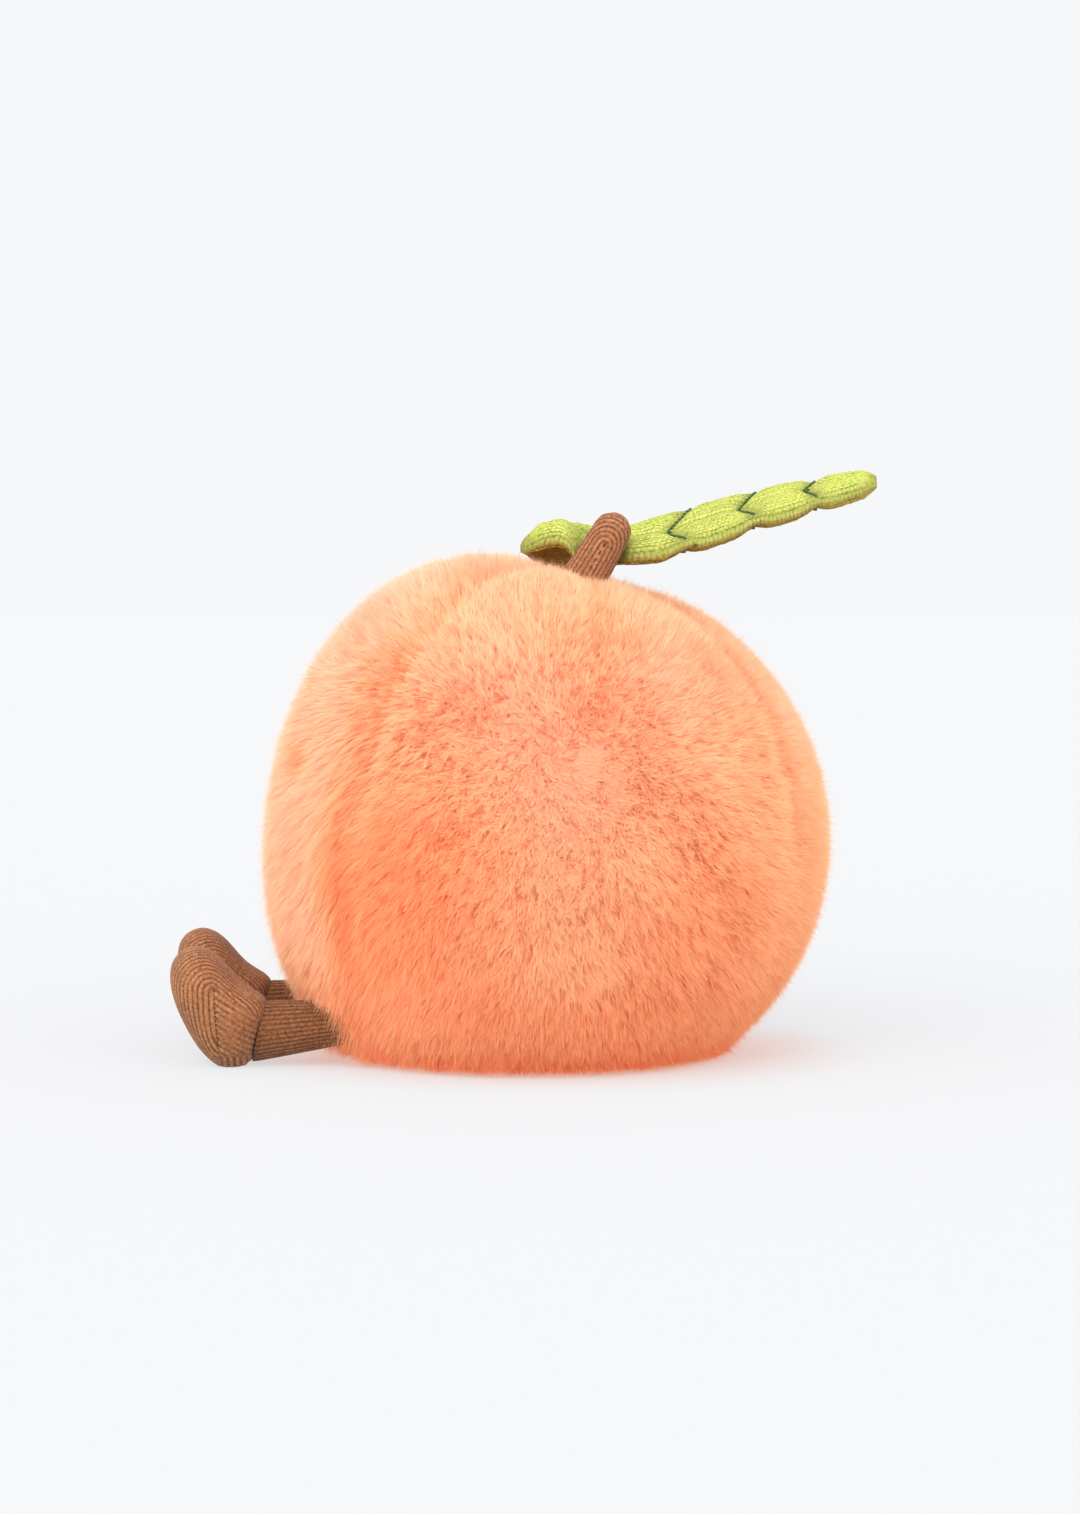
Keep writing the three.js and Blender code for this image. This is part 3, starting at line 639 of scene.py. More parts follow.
def leg_cover_share(points, side, grow):
    """Under 1 inside a leg's tube."""
    behind_ankle = points[..., 1] - LEG_ANKLE_Y + reach_ahead(side)
    along = np.clip(behind_ankle / (LEG_ROOT_Y - LEG_ANKLE_Y), 0, 1)
    half_width = lerp(ANKLE_HALF_WIDTH, HIP_HALF_WIDTH, along) + grow
    half_height = lerp(ANKLE_HALF_HEIGHT, HIP_HALF_HEIGHT, along) + grow
    middle = lerp(ANKLE_Z, HIP_Z, along)
    return np.hypot((points[..., 0] - side * LEG_X) / half_width,
                    (points[..., 2] - middle) / half_height)


def stem_share(points):
    """Under 1 inside the stem's tube."""
    axis = np.array([0, math.sin(STEM_LEAN), math.cos(STEM_LEAN)])
    offset = points - STEM_BASE
    offset = offset - (offset @ axis)[..., None] * axis
    sideways = offset[..., 0] / (STEM_HALF_DEPTH * STEM_FLATNESS)
    return np.hypot(sideways, np.linalg.norm(offset[..., 1:], axis=-1) / STEM_HALF_DEPTH)


# ---- the fur

def strand_places(gore, count, rng):
    """Even places over a gore, as across and travel, both 0 to 1."""
    steps = np.linspace(0, 1, 400)
    middle = seam_direction(np.full(400, gore.start + gore.span / 2), steps)
    share = np.cumsum(gore.ring_radius(middle) + 0.5)
    share = (share - share[0]) / (share[-1] - share[0])
    return rng.random(count), np.interp(rng.random(count), share, steps)


def strand_lean(gore, points, across, travel, down, side):
    """How the pile leans at each place: combed down in front, parted at seams, splayed low down."""
    _, y, z = np.moveaxis(points, -1, 0)
    combed = smoothstep(-y, 15, 55) * (1 - smoothstep(z, 80, 108))
    hang = HANG + COMBED_HANG * combed - CROWN_LIFT * smoothstep(z, 85, 112)
    hang = hang + 0.08 * waves(points, SWIRL_LENGTHS[0], 11) + 0.12 * waves(points, 3.2, 12)
    swirl = 0.18 * waves(points, SWIRL_LENGTHS[1], 13) + 0.12 * waves(points, 3, 14)
    width = gore.ring_radius(gore.direction(across, travel)) * gore.span
    to_start, to_end = width * across, width * (1 - across)
    swirl -= SEAM_PARTING * (bell(to_start, SEAM_PARTING_WIDTH) - bell(to_end, SEAM_PARTING_WIDTH))
    lean = down * hang[..., None] + side * swirl[..., None]
    low = (1 - smoothstep(z, 1, 9)) * (1 - 0.8 * smoothstep(-y, 30, 48))
    away = (points - BODY_CENTRE) * [1, 1, 0]
    return lean + unit(away) * (FLOOR_SPLAY * low)[..., None]


def leg_fringe(points):
    """1 just above and beside a leg's root, falling to 0 away from it."""
    near = [bell(leg_cover_share(points, side, 0) - 1, 0.5) for side in (1, -1)]
    return np.maximum(*near) * (points[..., 1] < 0)


def gore_tufts(gore, count, rng):
    """Where the tufts stand, their tips, leans, lengths and tones."""
    across, travel = strand_places(gore, count, rng)
    outward, down, side = gore.frame(across, travel)
    root = gore.point(across, travel, SKIN_DEPTH)
    lean = strand_lean(gore, root, across, travel, down, side)
    random_lean = rng.normal(0, TUFT_SPREAD, (count, 2))
    lean += down * random_lean[:, :1] + side * random_lean[:, 1:]
    length = SKIN_DEPTH + rng.normal(0.1, 0.35, count)
    tip = root + (outward + lean * TUFT_LEAN) * length[:, None]
    return across, travel, tip, lean, length, rng.normal(0, TUFT_MOTTLING, count)


def blades(root, tip, outward, rng):
    """Slim triangles from a root to a tip, rolled at random, and the normals they are lit by."""
    along = unit(tip - root)
    upper = unit(outward - np.sum(outward * along, -1, keepdims=True) * along + 1e-6)
    roll = rng.uniform(-0.7, 0.7, len(root))[:, None]
    width = STRAND_HALF_WIDTH * rng.uniform(0.7, 1.3, len(root))[:, None]
    flat = (np.cross(along, upper) * np.cos(roll) + upper * np.sin(roll)) * width
    facing = upper * np.cos(roll) - np.cross(along, upper) * np.sin(roll)
    normals = np.repeat(unit(outward * (1 - PILE_SHADING) + facing * PILE_SHADING), 3, axis=0)
    return np.stack([root - flat, root + flat, tip], 1).reshape(-1, 3), normals


def gore_fur(gore, count, rng):
    """Strands as slim blades: faces, points, tone, reach and the normals they are lit by."""
    tufts = count // STRANDS_PER_TUFT
    tuft_across, tuft_travel, tuft_tip, tuft_lean, tuft_length, tuft_tone = gore_tufts(
        gore, tufts, rng)

    tuft = rng.integers(0, tufts, count)
    spread = TUFT_RADIUS * np.sqrt(rng.random(count))
    turn = rng.uniform(0, 2 * math.pi, count)
    ring = gore.ring_radius(gore.direction(tuft_across[tuft], tuft_travel[tuft]))
    across = tuft_across[tuft] + spread * np.cos(turn) / (gore.span * np.maximum(ring, 4))
    across = np.clip(across, 0.004, 0.996)
    travel = np.clip(tuft_travel[tuft] + spread * np.sin(turn) / GORE_LENGTH, 0.0, 1.0)
    outward, down, side = gore.frame(across, travel)
    root = gore.point(across, travel, SKIN_DEPTH + 0.3)
    jitter = rng.normal(0, STRAND_SPREAD, (count, 2))
    lean = tuft_lean[tuft] + down * jitter[:, :1] + side * jitter[:, 1:]
    length = tuft_length[tuft] + rng.normal(0.2, 0.45, count)
    stray = rng.random(count) < STRAY_SHARE
    fringe = leg_fringe(root)
    lean = lean + fringe[:, None] * (0.5 * down + 0.4 * unit((root - BODY_CENTRE) * [0, 1, 0]))
    length = length + stray * rng.uniform(*STRAY_LENGTHS, count) + fringe * FRINGE_LENGTH
    length = length + stray * (root[:, 2] < 7) * rng.uniform(0.5, 2.0, count)
    tip = root + (outward + lean * STRAND_LEAN) * length[:, None]
    pull = TUFT_PULL * np.sqrt(rng.random(count))[:, None]
    tip = lerp(tip, tuft_tip[tuft], pull)
    tip[:, 2] = np.maximum(tip[:, 2], 0.08 + 0.5 * rng.random(count))

    kept = stem_share(lerp(root, tip, 0.5)) > 1
    for hip in (1, -1):
        kept &= (leg_cover_share(root, hip, -0.3) > 1) | (root[:, 1] > 0)
    root, tip, outward = root[kept], tip[kept], outward[kept]
    across, travel, tuft = across[kept], travel[kept], tuft[kept]
    points, normals = blades(root, tip, outward, rng)
    faces = np.arange(len(points)).reshape(-1, 3)
    # This holds the blush and also the painted highlight and shade of pile_tone.
    blush_and_painted_light = pile_tone(root)
    mottled = tuft_tone[tuft] + rng.normal(0, STRAND_MOTTLING, len(root))
    tone = blush_and_painted_light + mottled * np.clip(0.3 + 1.5 * blush_and_painted_light, 0.3, 1.5)
    # Painted shade along each seam's groove.
    distance, clearness = gore.seam(across, travel, gore.direction(across, travel))
    tone += SEAM_SHADE * clearness * bell(distance, SEAM_SHADE_WIDTH)
    tone = np.repeat(np.clip(tone, 0, 1), 3)
    # Painted shade: the tips by the floor keep the deeper root colour.
    shaded_tip_reach = lerp(FLOOR_SHADE_REACH, 1, smoothstep(root[:, 2], *FLOOR_SHADE_HEIGHTS))
    reach = np.outer(shaded_tip_reach, [0.0, 0.0, 1.0]).ravel()
    return faces, points, tone, reach, normals


def gore_skin(gore):
    """The cloth under the pile, a closed sheet: faces, points, tone, reach and normals."""
    rows, columns = 44, 16
    travel, across = np.meshgrid(np.linspace(0, 1, rows), np.linspace(0, 1, columns), indexing="ij")
    sides = [gore.point(across, travel, depth).reshape(-1, 3)
             for depth in (SKIN_DEPTH, SKIN_DEPTH + SKIN_THICKNESS)]
    points = np.concatenate(sides)
    faces, _ = sheet_faces(rows, columns)
    outward = gore.frame(across, travel)[0].reshape(-1, 3)
    return (faces[:, ::-1], points, np.clip(pile_tone(points), 0, 1), np.full(len(points), 0.2),
            np.concatenate([outward, -outward]))


def pile_uv(tone, reach):
    """Places on the pile's colour map, by tone across and by reach upwards."""
    return np.stack([0.02 + 0.96 * tone, 0.02 + 0.96 * reach], -1)


def make_gore(gore, material, rng):
    count = round(STRANDS * gore.span / (2 * math.pi))
    (fur_faces, *fur), (skin_faces, *skin) = gore_fur(gore, count, rng), gore_skin(gore)
    points, tone, reach, normals = (np.concatenate(pair) for pair in zip(skin, fur))
    faces = np.concatenate([skin_faces, fur_faces + len(skin[0])])
    piece = make_object(f"plush_{gore.word}", points, faces, pile_uv(tone, reach)[faces.ravel()],
                        {"tone": tone, "reach": reach}, material, normals)
    finish_piece(piece, [f"fur_gore_{gore.word}"])


# ---- corduroy

def wale_depth(wale):
    """0 on the crest of a rib, 1 in the valley beside it."""
    return 1 - np.abs(np.sin(math.pi * wale)) ** 0.6


def outward_faces(points, faces, uv):
    """The faces of a closed form, all turned over if they face inwards."""
    corner = points[faces] - points.mean(axis=0)
    volume = np.sum(np.cross(corner[:, 0], corner[:, 1]) * corner[:, 2])
    if volume > 0:
        return faces, uv
    return faces[:, ::-1], uv.reshape(-1, 3, 2)[:, ::-1].reshape(-1, 2)


def ribbed_tube(name, node, rings, caps, wale, ridge, material, trim=None):
    """A closed corduroy form from rings of points, with its ribs standing out along its normals."""
    normals = ring_normals(rings)
    if np.mean(np.sum(normals * (rings - rings.mean(axis=(0, 1))), -1)) < 0:
        normals = -normals
    relief = WALE_DEPTH * ridge * (wale_depth(wale) - 0.35)
    shaped = rings - normals * relief[..., None]
    if trim is not None:
        shaped = trim(shaped)
    points = np.concatenate([shaped.reshape(-1, 3), caps])
    faces, uv = outward_faces(points, *tube_faces(*rings.shape[:2]))
    floats = {key: np.concatenate([values.ravel(), [values[0].mean(), values[-1].mean()]])
              for key, values in (("wale", wale), ("ridge", ridge))}
    piece = make_object(name, points, faces, uv, floats, material)
    finish_piece(piece, [node])


def segment_distance(points, start, end):
    """Distance of 2-D points to a segment."""
    start, end = np.array(start), np.array(end)
    run = end - start
    share = np.clip((points - start) @ run / (run @ run), 0, 1)
    return np.linalg.norm(points - start - share[..., None] * run, axis=-1)


def cross_2d(a, b):
    return a[0] * b[..., 1] - a[1] * b[..., 0]


# The broad sides of a foot: distances along it and outwards to the instep. A seam runs from its
# top to its heel, and the ribs change direction there and from its top to its ankle.
FOOT_SEAM_TOP, FOOT_SEAM_HEEL, FOOT_SEAM_ANKLE = (4.9, 3.3), (-10.4, -3.1), (-8.5, 11.0)
FOOT_WORN_START, FOOT_WORN_END = (-8, 2.5), (-6, 5)     # where the wedge between them is worn
FOOT_SEAM_DEPTH = 0.35
FOOT_PINCH, FOOT_PINCH_WIDTH = 0.12, 0.6    # at the ankle seam
FLOOR_CLEARANCE = 0.02
FOOT_ROWS, FOOT_COLUMNS = 128, 216


def ankle_y(side, z):
    return LEG_ANKLE_Y - reach_ahead(side) + (z - ANKLE_Z) * ANKLE_SLOPE


def foot_surface(side, sphere):
    """The foot's outside for points of a unit sphere: places, and along, outwards and share."""
    size = np.sum(np.abs(sphere) ** FOOT_SQUARENESS, -1) ** (1 / FOOT_SQUARENESS)
    x, y, z = np.moveaxis(sphere / size[..., None], -1, 0)
    along = FOOT_HALF_LENGTH * y
    bulge = INSTEP_REACH * bell(along - INSTEP_ALONG, INSTEP_SPREAD)
    outwards = FOOT_HALF_DEPTH * z + bulge * np.maximum(0, z) ** 1.5
    sine, cosine = math.sin(FOOT_LEAN), math.cos(FOOT_LEAN)
    points = xyz(side * LEG_X - FOOT_HALF_WIDTH * x,
                 FOOT_Y - reach_ahead(side) - along * sine + outwards * cosine,
                 FOOT_Z + along * cosine + outwards * sine)
    return points, along, outwards, np.abs(x)


def foot_wales(along, outwards, share, places):
    """Rib count and clearness: ribs run round the side seam, and thin out in the heel's wedge."""
    flat = np.stack([along, outwards], -1)
    reach = np.minimum(segment_distance(flat, FOOT_SEAM_TOP, FOOT_SEAM_HEEL),
                       segment_distance(flat, FOOT_SEAM_TOP, FOOT_SEAM_ANKLE))
    drop = FOOT_HALF_WIDTH * (1 - share)
    span = (reach ** 1.6 + drop ** 1.6) ** (1 / 1.6)
    top = np.array(FOOT_SEAM_TOP)
    to_heel, to_ankle = np.array(FOOT_SEAM_HEEL) - top, np.array(FOOT_SEAM_ANKLE) - top
    turn = cross_2d(to_heel, to_ankle)
    past_ankle_line = cross_2d(to_ankle, flat - top)
    inside = (cross_2d(to_heel, flat - top) * turn > 0) & (past_ankle_line * turn < 0)
    from_ankle_line = np.abs(past_ankle_line) / np.linalg.norm(to_ankle)
    low = 1 - smoothstep(places[..., 2], 2.2, 4.5)
    wedge_wale = np.where(low > 0.5, places[..., 1] / 1.5, -from_ankle_line / WALE_PITCH)
    middle = bell(segment_distance(flat, FOOT_WORN_START, FOOT_WORN_END), 4.5)
    wedge_ridge = np.maximum(0.75 - 0.5 * middle, 0.9 * low) * (1 - 0.7 * bell(low - 0.5, 0.3))
    worn = 0.16 * waves(places, 9, 31) + 0.14 * waves(places, 2.5, 32)
    ridge = np.where(inside, wedge_ridge, 0.85) + worn
    return np.where(inside, wedge_wale, span / WALE_PITCH), np.clip(ridge, 0.1, 1)


def make_foot(side, word, material):
    turns, rolls = np.meshgrid(np.linspace(0, math.pi, FOOT_ROWS + 2)[1:-1],
                               circle(FOOT_COLUMNS), indexing="ij")
    sphere = xyz(np.cos(turns), np.sin(turns) * np.cos(rolls), np.sin(turns) * np.sin(rolls))
    rings, along, outwards, share = foot_surface(side, sphere)
    caps = foot_surface(side, np.array([[1.0, 0, 0], [-1.0, 0, 0]]))[0]
    wale, ridge = foot_wales(along, outwards, share, rings)
    flat = np.stack([along, outwards], -1)
    sewn = bell(segment_distance(flat, FOOT_SEAM_TOP, FOOT_SEAM_HEEL), 0.8)
    sewn = sewn * smoothstep(share, 0.7, 0.9)
    rings[..., 0] -= np.sign(rings[..., 0] - side * LEG_X) * (FOOT_SEAM_DEPTH * sewn)

    def trim(points):
        """Cuts the foot off at the ankle, where its edge turns in to the seam, and at the floor."""
        beyond = points[..., 1] - ankle_y(side, points[..., 2])
        points[..., 1] -= np.maximum(beyond, 0)
        pinch = FOOT_PINCH * bell(np.minimum(beyond, 0), FOOT_PINCH_WIDTH)
        centre = np.array([side * LEG_X, LEG_ANKLE_Y - reach_ahead(side), ANKLE_Z])
        inwards = unit((centre - points) * [1, 0, 1] + 1e-6)
        points += inwards * pinch[..., None]
        points[..., 2] = np.maximum(points[..., 2], FLOOR_CLEARANCE)
        return points

    ribbed_tube(f"corduroy_foot_{word}", f"foot_cover_{word}", rings, caps, wale, ridge, material,
                trim)


LEG_WALES = 35
LEG_ROWS, LEG_COLUMNS = 16, 210


def make_leg(side, word, material):
    along, turn = np.meshgrid(np.linspace(-0.02, 1, LEG_ROWS),
                              np.arange(LEG_COLUMNS) / LEG_COLUMNS, indexing="ij")
    across, up = np.sin(2 * math.pi * turn), np.cos(2 * math.pi * turn)
    inside = np.clip(along, 0, 1)
    pinch = 1 - 0.015 * bell(along, 0.03)
    half_width = lerp(ANKLE_HALF_WIDTH, HIP_HALF_WIDTH, inside) * pinch
    half_height = lerp(ANKLE_HALF_HEIGHT, HIP_HALF_HEIGHT, inside) * pinch
    z = lerp(ANKLE_Z, HIP_Z, inside) + up * half_height
    x = side * LEG_X + across * half_width
    y = lerp(ankle_y(side, z), LEG_ROOT_Y, along)
    rings = xyz(x, y, z)
    caps = np.stack([rings[0].mean(axis=0), rings[-1].mean(axis=0)])
    ridge = np.clip(0.5 + 0.5 * np.abs(up) ** 1.5 + 0.12 * waves(rings, 12, 41), 0.15, 1)
    ribbed_tube(f"corduroy_leg_{word}", f"leg_cover_{word}", rings, caps, turn * LEG_WALES,
                ridge, material)


STEM_SEAM = (-STEM_ROOT, 9.0)   # the heights between which its ribs run upright
STEM_COLUMNS = 200


def stem_place(points):
    """From upright places about the stem's foot to places on the leaning stem."""
    sine, cosine = math.sin(STEM_LEAN), math.cos(STEM_LEAN)
    x, y, z = np.moveaxis(points, -1, 0)
    return xyz(x * STEM_FLATNESS, y * cosine + z * sine, z * cosine - y * sine) + STEM_BASE


def stem_profile():
    """Radius and height of the stem's outside, from its root to its rounded top."""
    shoulder = STEM_HEIGHT - STEM_TOP_HALF_DEPTH
    rise = np.concatenate([np.linspace(-STEM_ROOT, 0, 5)[:-1], np.linspace(0, shoulder, 18)[:-1]])
    radius = np.where(rise < 0, STEM_HALF_DEPTH,
                      lerp(STEM_HALF_DEPTH, STEM_TOP_HALF_DEPTH, rise / shoulder))
    turn = np.linspace(0, math.pi / 2, 38)[:-1]
    return (np.concatenate([radius, STEM_TOP_HALF_DEPTH * np.cos(turn)]),
            np.concatenate([rise, shoulder + STEM_TOP_HALF_DEPTH * np.sin(turn)]))


def make_stem(material):
    radius, rise = stem_profile()
    radius, rise, turn = radius[:, None], rise[:, None], circle(STEM_COLUMNS)
    upright = xyz(radius * np.cos(turn), radius * np.sin(turn), rise)
    reach = segment_distance(upright[..., 1:], (0, STEM_SEAM[0]), (0, STEM_SEAM[1]))
    drop = np.maximum(STEM_HALF_DEPTH - np.abs(upright[..., 0]), 0) * STEM_FLATNESS
    wale = (reach ** 1.5 + drop ** 1.5) ** (1 / 1.5) / (0.92 * WALE_PITCH)
    rings = stem_place(upright)
    caps = stem_place(np.array([[0, 0, -STEM_ROOT], [0, 0, STEM_HEIGHT]]))
    ridge = np.clip(0.85 + 0.15 * waves(rings, 5, 51), 0.3, 1)
    ribbed_tube("corduroy_stem", "stem_cover", rings, caps, wale, ridge, material)


# ---- the leaf

LEAF_END_RUN = 90       # about the leaf's length: how soon its ends round off
LEAF_EDGE_ROLL = 1.2    # how far in from the edge the cloths begin to turn to each other


def leaf_half_width(y):
    blade = np.clip((y - GATHER_BACK) / (LEAF_TIP_Y - GATHER_BACK), 0, 1)
    lobe = np.clip((GATHER_FRONT - y) / (GATHER_FRONT - LEAF_FRONT_Y), 0, 1)
    blade_width = LEAF_HALF_WIDTH * np.maximum(0, np.sin(math.pi * blade ** 0.8)) ** 0.75
    lobe_width = LEAF_LOBE_HALF_WIDTH * np.maximum(0, np.sin(math.pi * lobe ** 0.8)) ** 0.6
    width = np.where(y > GATHER_BACK, blade_width, np.where(y < GATHER_FRONT, lobe_width, 0))
    width = width + GATHER_HALF_WIDTH * (1 - np.maximum(blade, lobe)) ** 2
    return np.hypot(width, 1.5)


def leaf_outline(y):
    """Half the leaf's width, kept as wide in its hollows as the straight steps of the solids."""
    steps = np.linspace(LEAF_FRONT_Y, LEAF_TIP_Y, LEAF_STEPS + 1)
    return np.maximum(leaf_half_width(y), np.interp(y, steps, leaf_half_width(steps)))


def leaf_midrib_z(y):
    return lerp(130.6 - 0.02 * (y - 7) ** 2, 123.6 + 0.236 * y, smoothstep(y, 8, 26))


def along_leaf(row):
    """The y where a row, 0 at the lobe to 1 at the tip, crosses the midrib."""
    return lerp(LEAF_FRONT_Y, LEAF_TIP_Y, row)


def leaf_middle(row, across):
    """A place on the sheet midway between the leaf's cloths."""
    start = along_leaf(row)
    near, far = np.maximum(0, across), np.maximum(0, -across)
    sweep = smoothstep(start, 12, 30) * np.maximum(0, 1 - row) ** 0.5
    y = start + lerp(LEAF_FAR_SWEEP, LEAF_NEAR_SWEEP, across > 0) * sweep * np.abs(across)
    half_width = leaf_outline(start)
    gather = bell(y - GATHER_Y, GATHER_SPREAD)
    lobe = 1 - smoothstep(y, 2, 14)
    folded = smoothstep(y, 16, 26) * (1 - smoothstep(y, 32, 62))
    lobe_reach = far * half_width / LEAF_LOBE_HALF_WIDTH
    z = (leaf_midrib_z(y) - LEAF_ROLL * half_width * across * (1 - lobe)
         - GATHER_DIP * gather * (GATHER_MIDRIB_SHARE + GATHER_NEAR_SHARE * near)
         - LEAF_NEAR_DROOP * near * (1 - smoothstep(y, 25, 55)) * (1 - lobe)
         - LEAF_FOLD * (1 - np.abs(across)) * folded
         - LEAF_LOBE_DROOP * lobe * lobe_reach ** 1.5)
    between = np.prod([1 - bell(start - vein, 3.4) for vein in LEAF_VEINS_Y], axis=0)
    z = z - LEAF_SCALLOP * near ** 2 * between * smoothstep(start, 18, 26)
    z = z - LOBE_RIM * lobe * smoothstep(across, 0.55, 1)
    return xyz(LEAF_X + half_width * across, y, z)


def leaf_fullness(row, across):
    """1 where the leaf is plump, 0 at its stitched lines and edges."""
    start = along_leaf(row)
    full = 1 - bell(across * leaf_outline(start), 2.6)
    for vein in LEAF_VEINS_Y:
        full = full * (1 - bell(start - vein, 2.4))
    ends = np.clip(np.minimum(row, 1 - row) / 0.05, 0, 1)
    return full * np.maximum(0, 1 - across ** 4) * ends


def cloth_height(row, across, swell):
    """Height of a cloth's inner face over the middle sheet."""
    to_edge, to_end = 1 - np.abs(across), np.minimum(row, 1 - row)
    inside = np.clip(np.minimum(to_edge / 0.15, to_end / 0.05), 0, 1)
    near = smoothstep(across, 0.25, 0.65) * smoothstep(row, 0.22, 0.36)
    puff = swell * leaf_fullness(row, across) * (1 + (LEAF_NEAR_PUFF - 1) * near)
    return np.sign(swell) * lerp(0.18, 0.6, inside) + puff


def leaf_outside(row, across, swell):
    """A place on the outer face of the top cloth (swell over 0) or of the underside cloth."""
    points = leaf_middle(row, across)
    to_side = (1 - np.abs(across)) * leaf_outline(along_leaf(row))
    edge = np.minimum(to_side, np.minimum(row, 1 - row) * LEAF_END_RUN)
    rolled = np.sqrt(1 - (1 - np.clip(edge / LEAF_EDGE_ROLL, 0, 1)) ** 2)
    height = cloth_height(row, across, swell) + np.sign(swell) * LEAF_CLOTH
    points[..., 2] += height * lerp(0.12, 1, rolled)
    return points


def make_leaf_cloth(name, node, swell, rows, columns, material):
    row, across = np.meshgrid(np.linspace(0, 1, rows), np.linspace(-1, 1, columns), indexing="ij")
    outer, inner = leaf_outside(row, across, swell), leaf_middle(row, across)
    wale = across * LEAF_WALES + 0.5
    width = leaf_outline(along_leaf(row))
    nubs = waves(outer, 1.9, 61, 16)
    ridge = np.clip(0.6 + 0.25 * waves(outer, 6, 62), 0.2, 1) * smoothstep(width, 3, 9)
    relief = LEAF_WALE_DEPTH * ridge * wale_depth(wale) - NUB_HEIGHT * nubs
    outer[..., 2] -= np.sign(swell) * relief
    sheets = (outer, inner) if swell > 0 else (inner, outer)
    points = np.concatenate([sheet.reshape(-1, 3) for sheet in sheets])
    faces, uv = outward_faces(points, *sheet_faces(rows, columns))
    floats = {"wale": wale, "ridge": ridge, "along": along_leaf(row) / NUB_PITCH,
              "full": leaf_fullness(row, across)}
    floats = {key: np.tile(values.ravel(), 2) for key, values in floats.items()}
    finish_piece(make_object(name, points, faces, uv, floats, material), [node])


# ---- stitches

STITCH_SIDES, STITCH_RINGS = 6, 5


def stitch_mesh(starts, ends, lifts, radius, arch):
    """Bent threads: each from a start to an end point, arched along its lift direction."""
    share = np.linspace(0, 1, STITCH_RINGS)
    arc = np.sin(math.pi * share) * arch
    centre = (starts[:, None] + (ends - starts)[:, None] * share[:, None]
              + lifts[:, None] * arc[:, None])
    along = unit(ends - starts)
    side = unit(np.cross(along, lifts))
    turn = circle(STITCH_SIDES)
    thick = radius * np.sqrt(np.clip(1 - (2 * share - 1) ** 4, 0.12, 1))
    offset = (side[:, None, None] * np.cos(turn)[:, None]
              + lifts[:, None, None] * np.sin(turn)[:, None]) * thick[:, None, None]
    rings = centre[:, :, None] + offset
    caps = np.stack([centre[:, 0] - along * radius * 0.5, centre[:, -1] + along * radius * 0.5], 1)
    points = np.concatenate([rings.reshape(len(starts), -1, 3), caps], 1)
    faces, uv = outward_faces(points[0], *tube_faces(STITCH_RINGS, STITCH_SIDES))
    step = np.arange(len(starts))[:, None, None] * points.shape[1]
    return points.reshape(-1, 3), (faces + step).reshape(-1, 3), np.tile(uv, (len(starts), 1))


def make_stitches(name, runs, material):
    parts, faces, maps, count = [], [], [], 0
    for run in runs:
        points, run_faces, uv = stitch_mesh(*run)
        parts.append(points)
        faces.append(run_faces + count)
        maps.append(uv)
        count += len(points)
    piece = make_object(name, *map(np.concatenate, (parts, faces, maps)), {}, material)
    finish_piece(piece)


def stitched_line(place, lift, length, gap, radius, arch):
    """Stitches along a curve of many points, each stitch of that length with gaps between."""
    steps = np.linalg.norm(np.diff(place, axis=0), axis=-1)
    travelled = np.concatenate([[0], np.cumsum(steps)])
    firsts = np.arange(0, travelled[-1] - length, length + gap)

    def at(distances, values):
        return np.stack([np.interp(distances, travelled, values[:, i]) for i in range(3)], -1)

    starts, ends = at(firsts, place), at(firsts + length, place)
    lifts = at(firsts + length / 2, lift)
    along = unit(ends - starts)
    lifts = unit(lifts - np.sum(lifts * along, -1, keepdims=True) * along)
    return starts, ends, lifts, radius, arch


def leaf_stitch_runs():
    """Stitches along the veins and the midrib, on both cloths."""
    count = 80
    row = (np.array(LEAF_VEINS_Y) - LEAF_FRONT_Y) / (LEAF_TIP_Y - LEAF_FRONT_Y)
    across = np.linspace(0.06, 0.97, count)
    lines = [(np.full(count, vein), across * way, VEIN_STITCH) for vein in row for way in (1, -1)]
    lines.append((np.linspace(0.30, 0.97, count), np.zeros(count), MIDRIB_STITCH))
    up = np.tile([0.0, 0.0, 1.0], (count, 1))
    return [stitched_line(leaf_outside(row, across, swell), lift, *stitch)
            for row, across, stitch in lines
            for swell, lift in ((LEAF_PUFF_TOP, up), (-LEAF_PUFF_UNDER, -up))]


def foot_seam_line(side, face, one, two, count=60):
    """Places on a foot's broad side over a straight seam in its outline."""
    share = np.linspace(0, 1, count)[:, None]
    flat = np.array(one) * (1 - share) + np.array(two) * share
    y, z = flat[:, 0] / FOOT_HALF_LENGTH, flat[:, 1] / FOOT_HALF_DEPTH
    bulge = INSTEP_REACH * bell(flat[:, 0] - INSTEP_ALONG, INSTEP_SPREAD)
    for _ in range(4):
        z = (flat[:, 1] - bulge * np.maximum(0, z) ** 1.5) / FOOT_HALF_DEPTH
    rest = np.maximum(0, 1 - np.abs(y) ** FOOT_SQUARENESS - np.abs(z) ** FOOT_SQUARENESS)
    x = -face * rest ** (1 / FOOT_SQUARENESS)
    return foot_surface(side, xyz(x, y, z))[0]


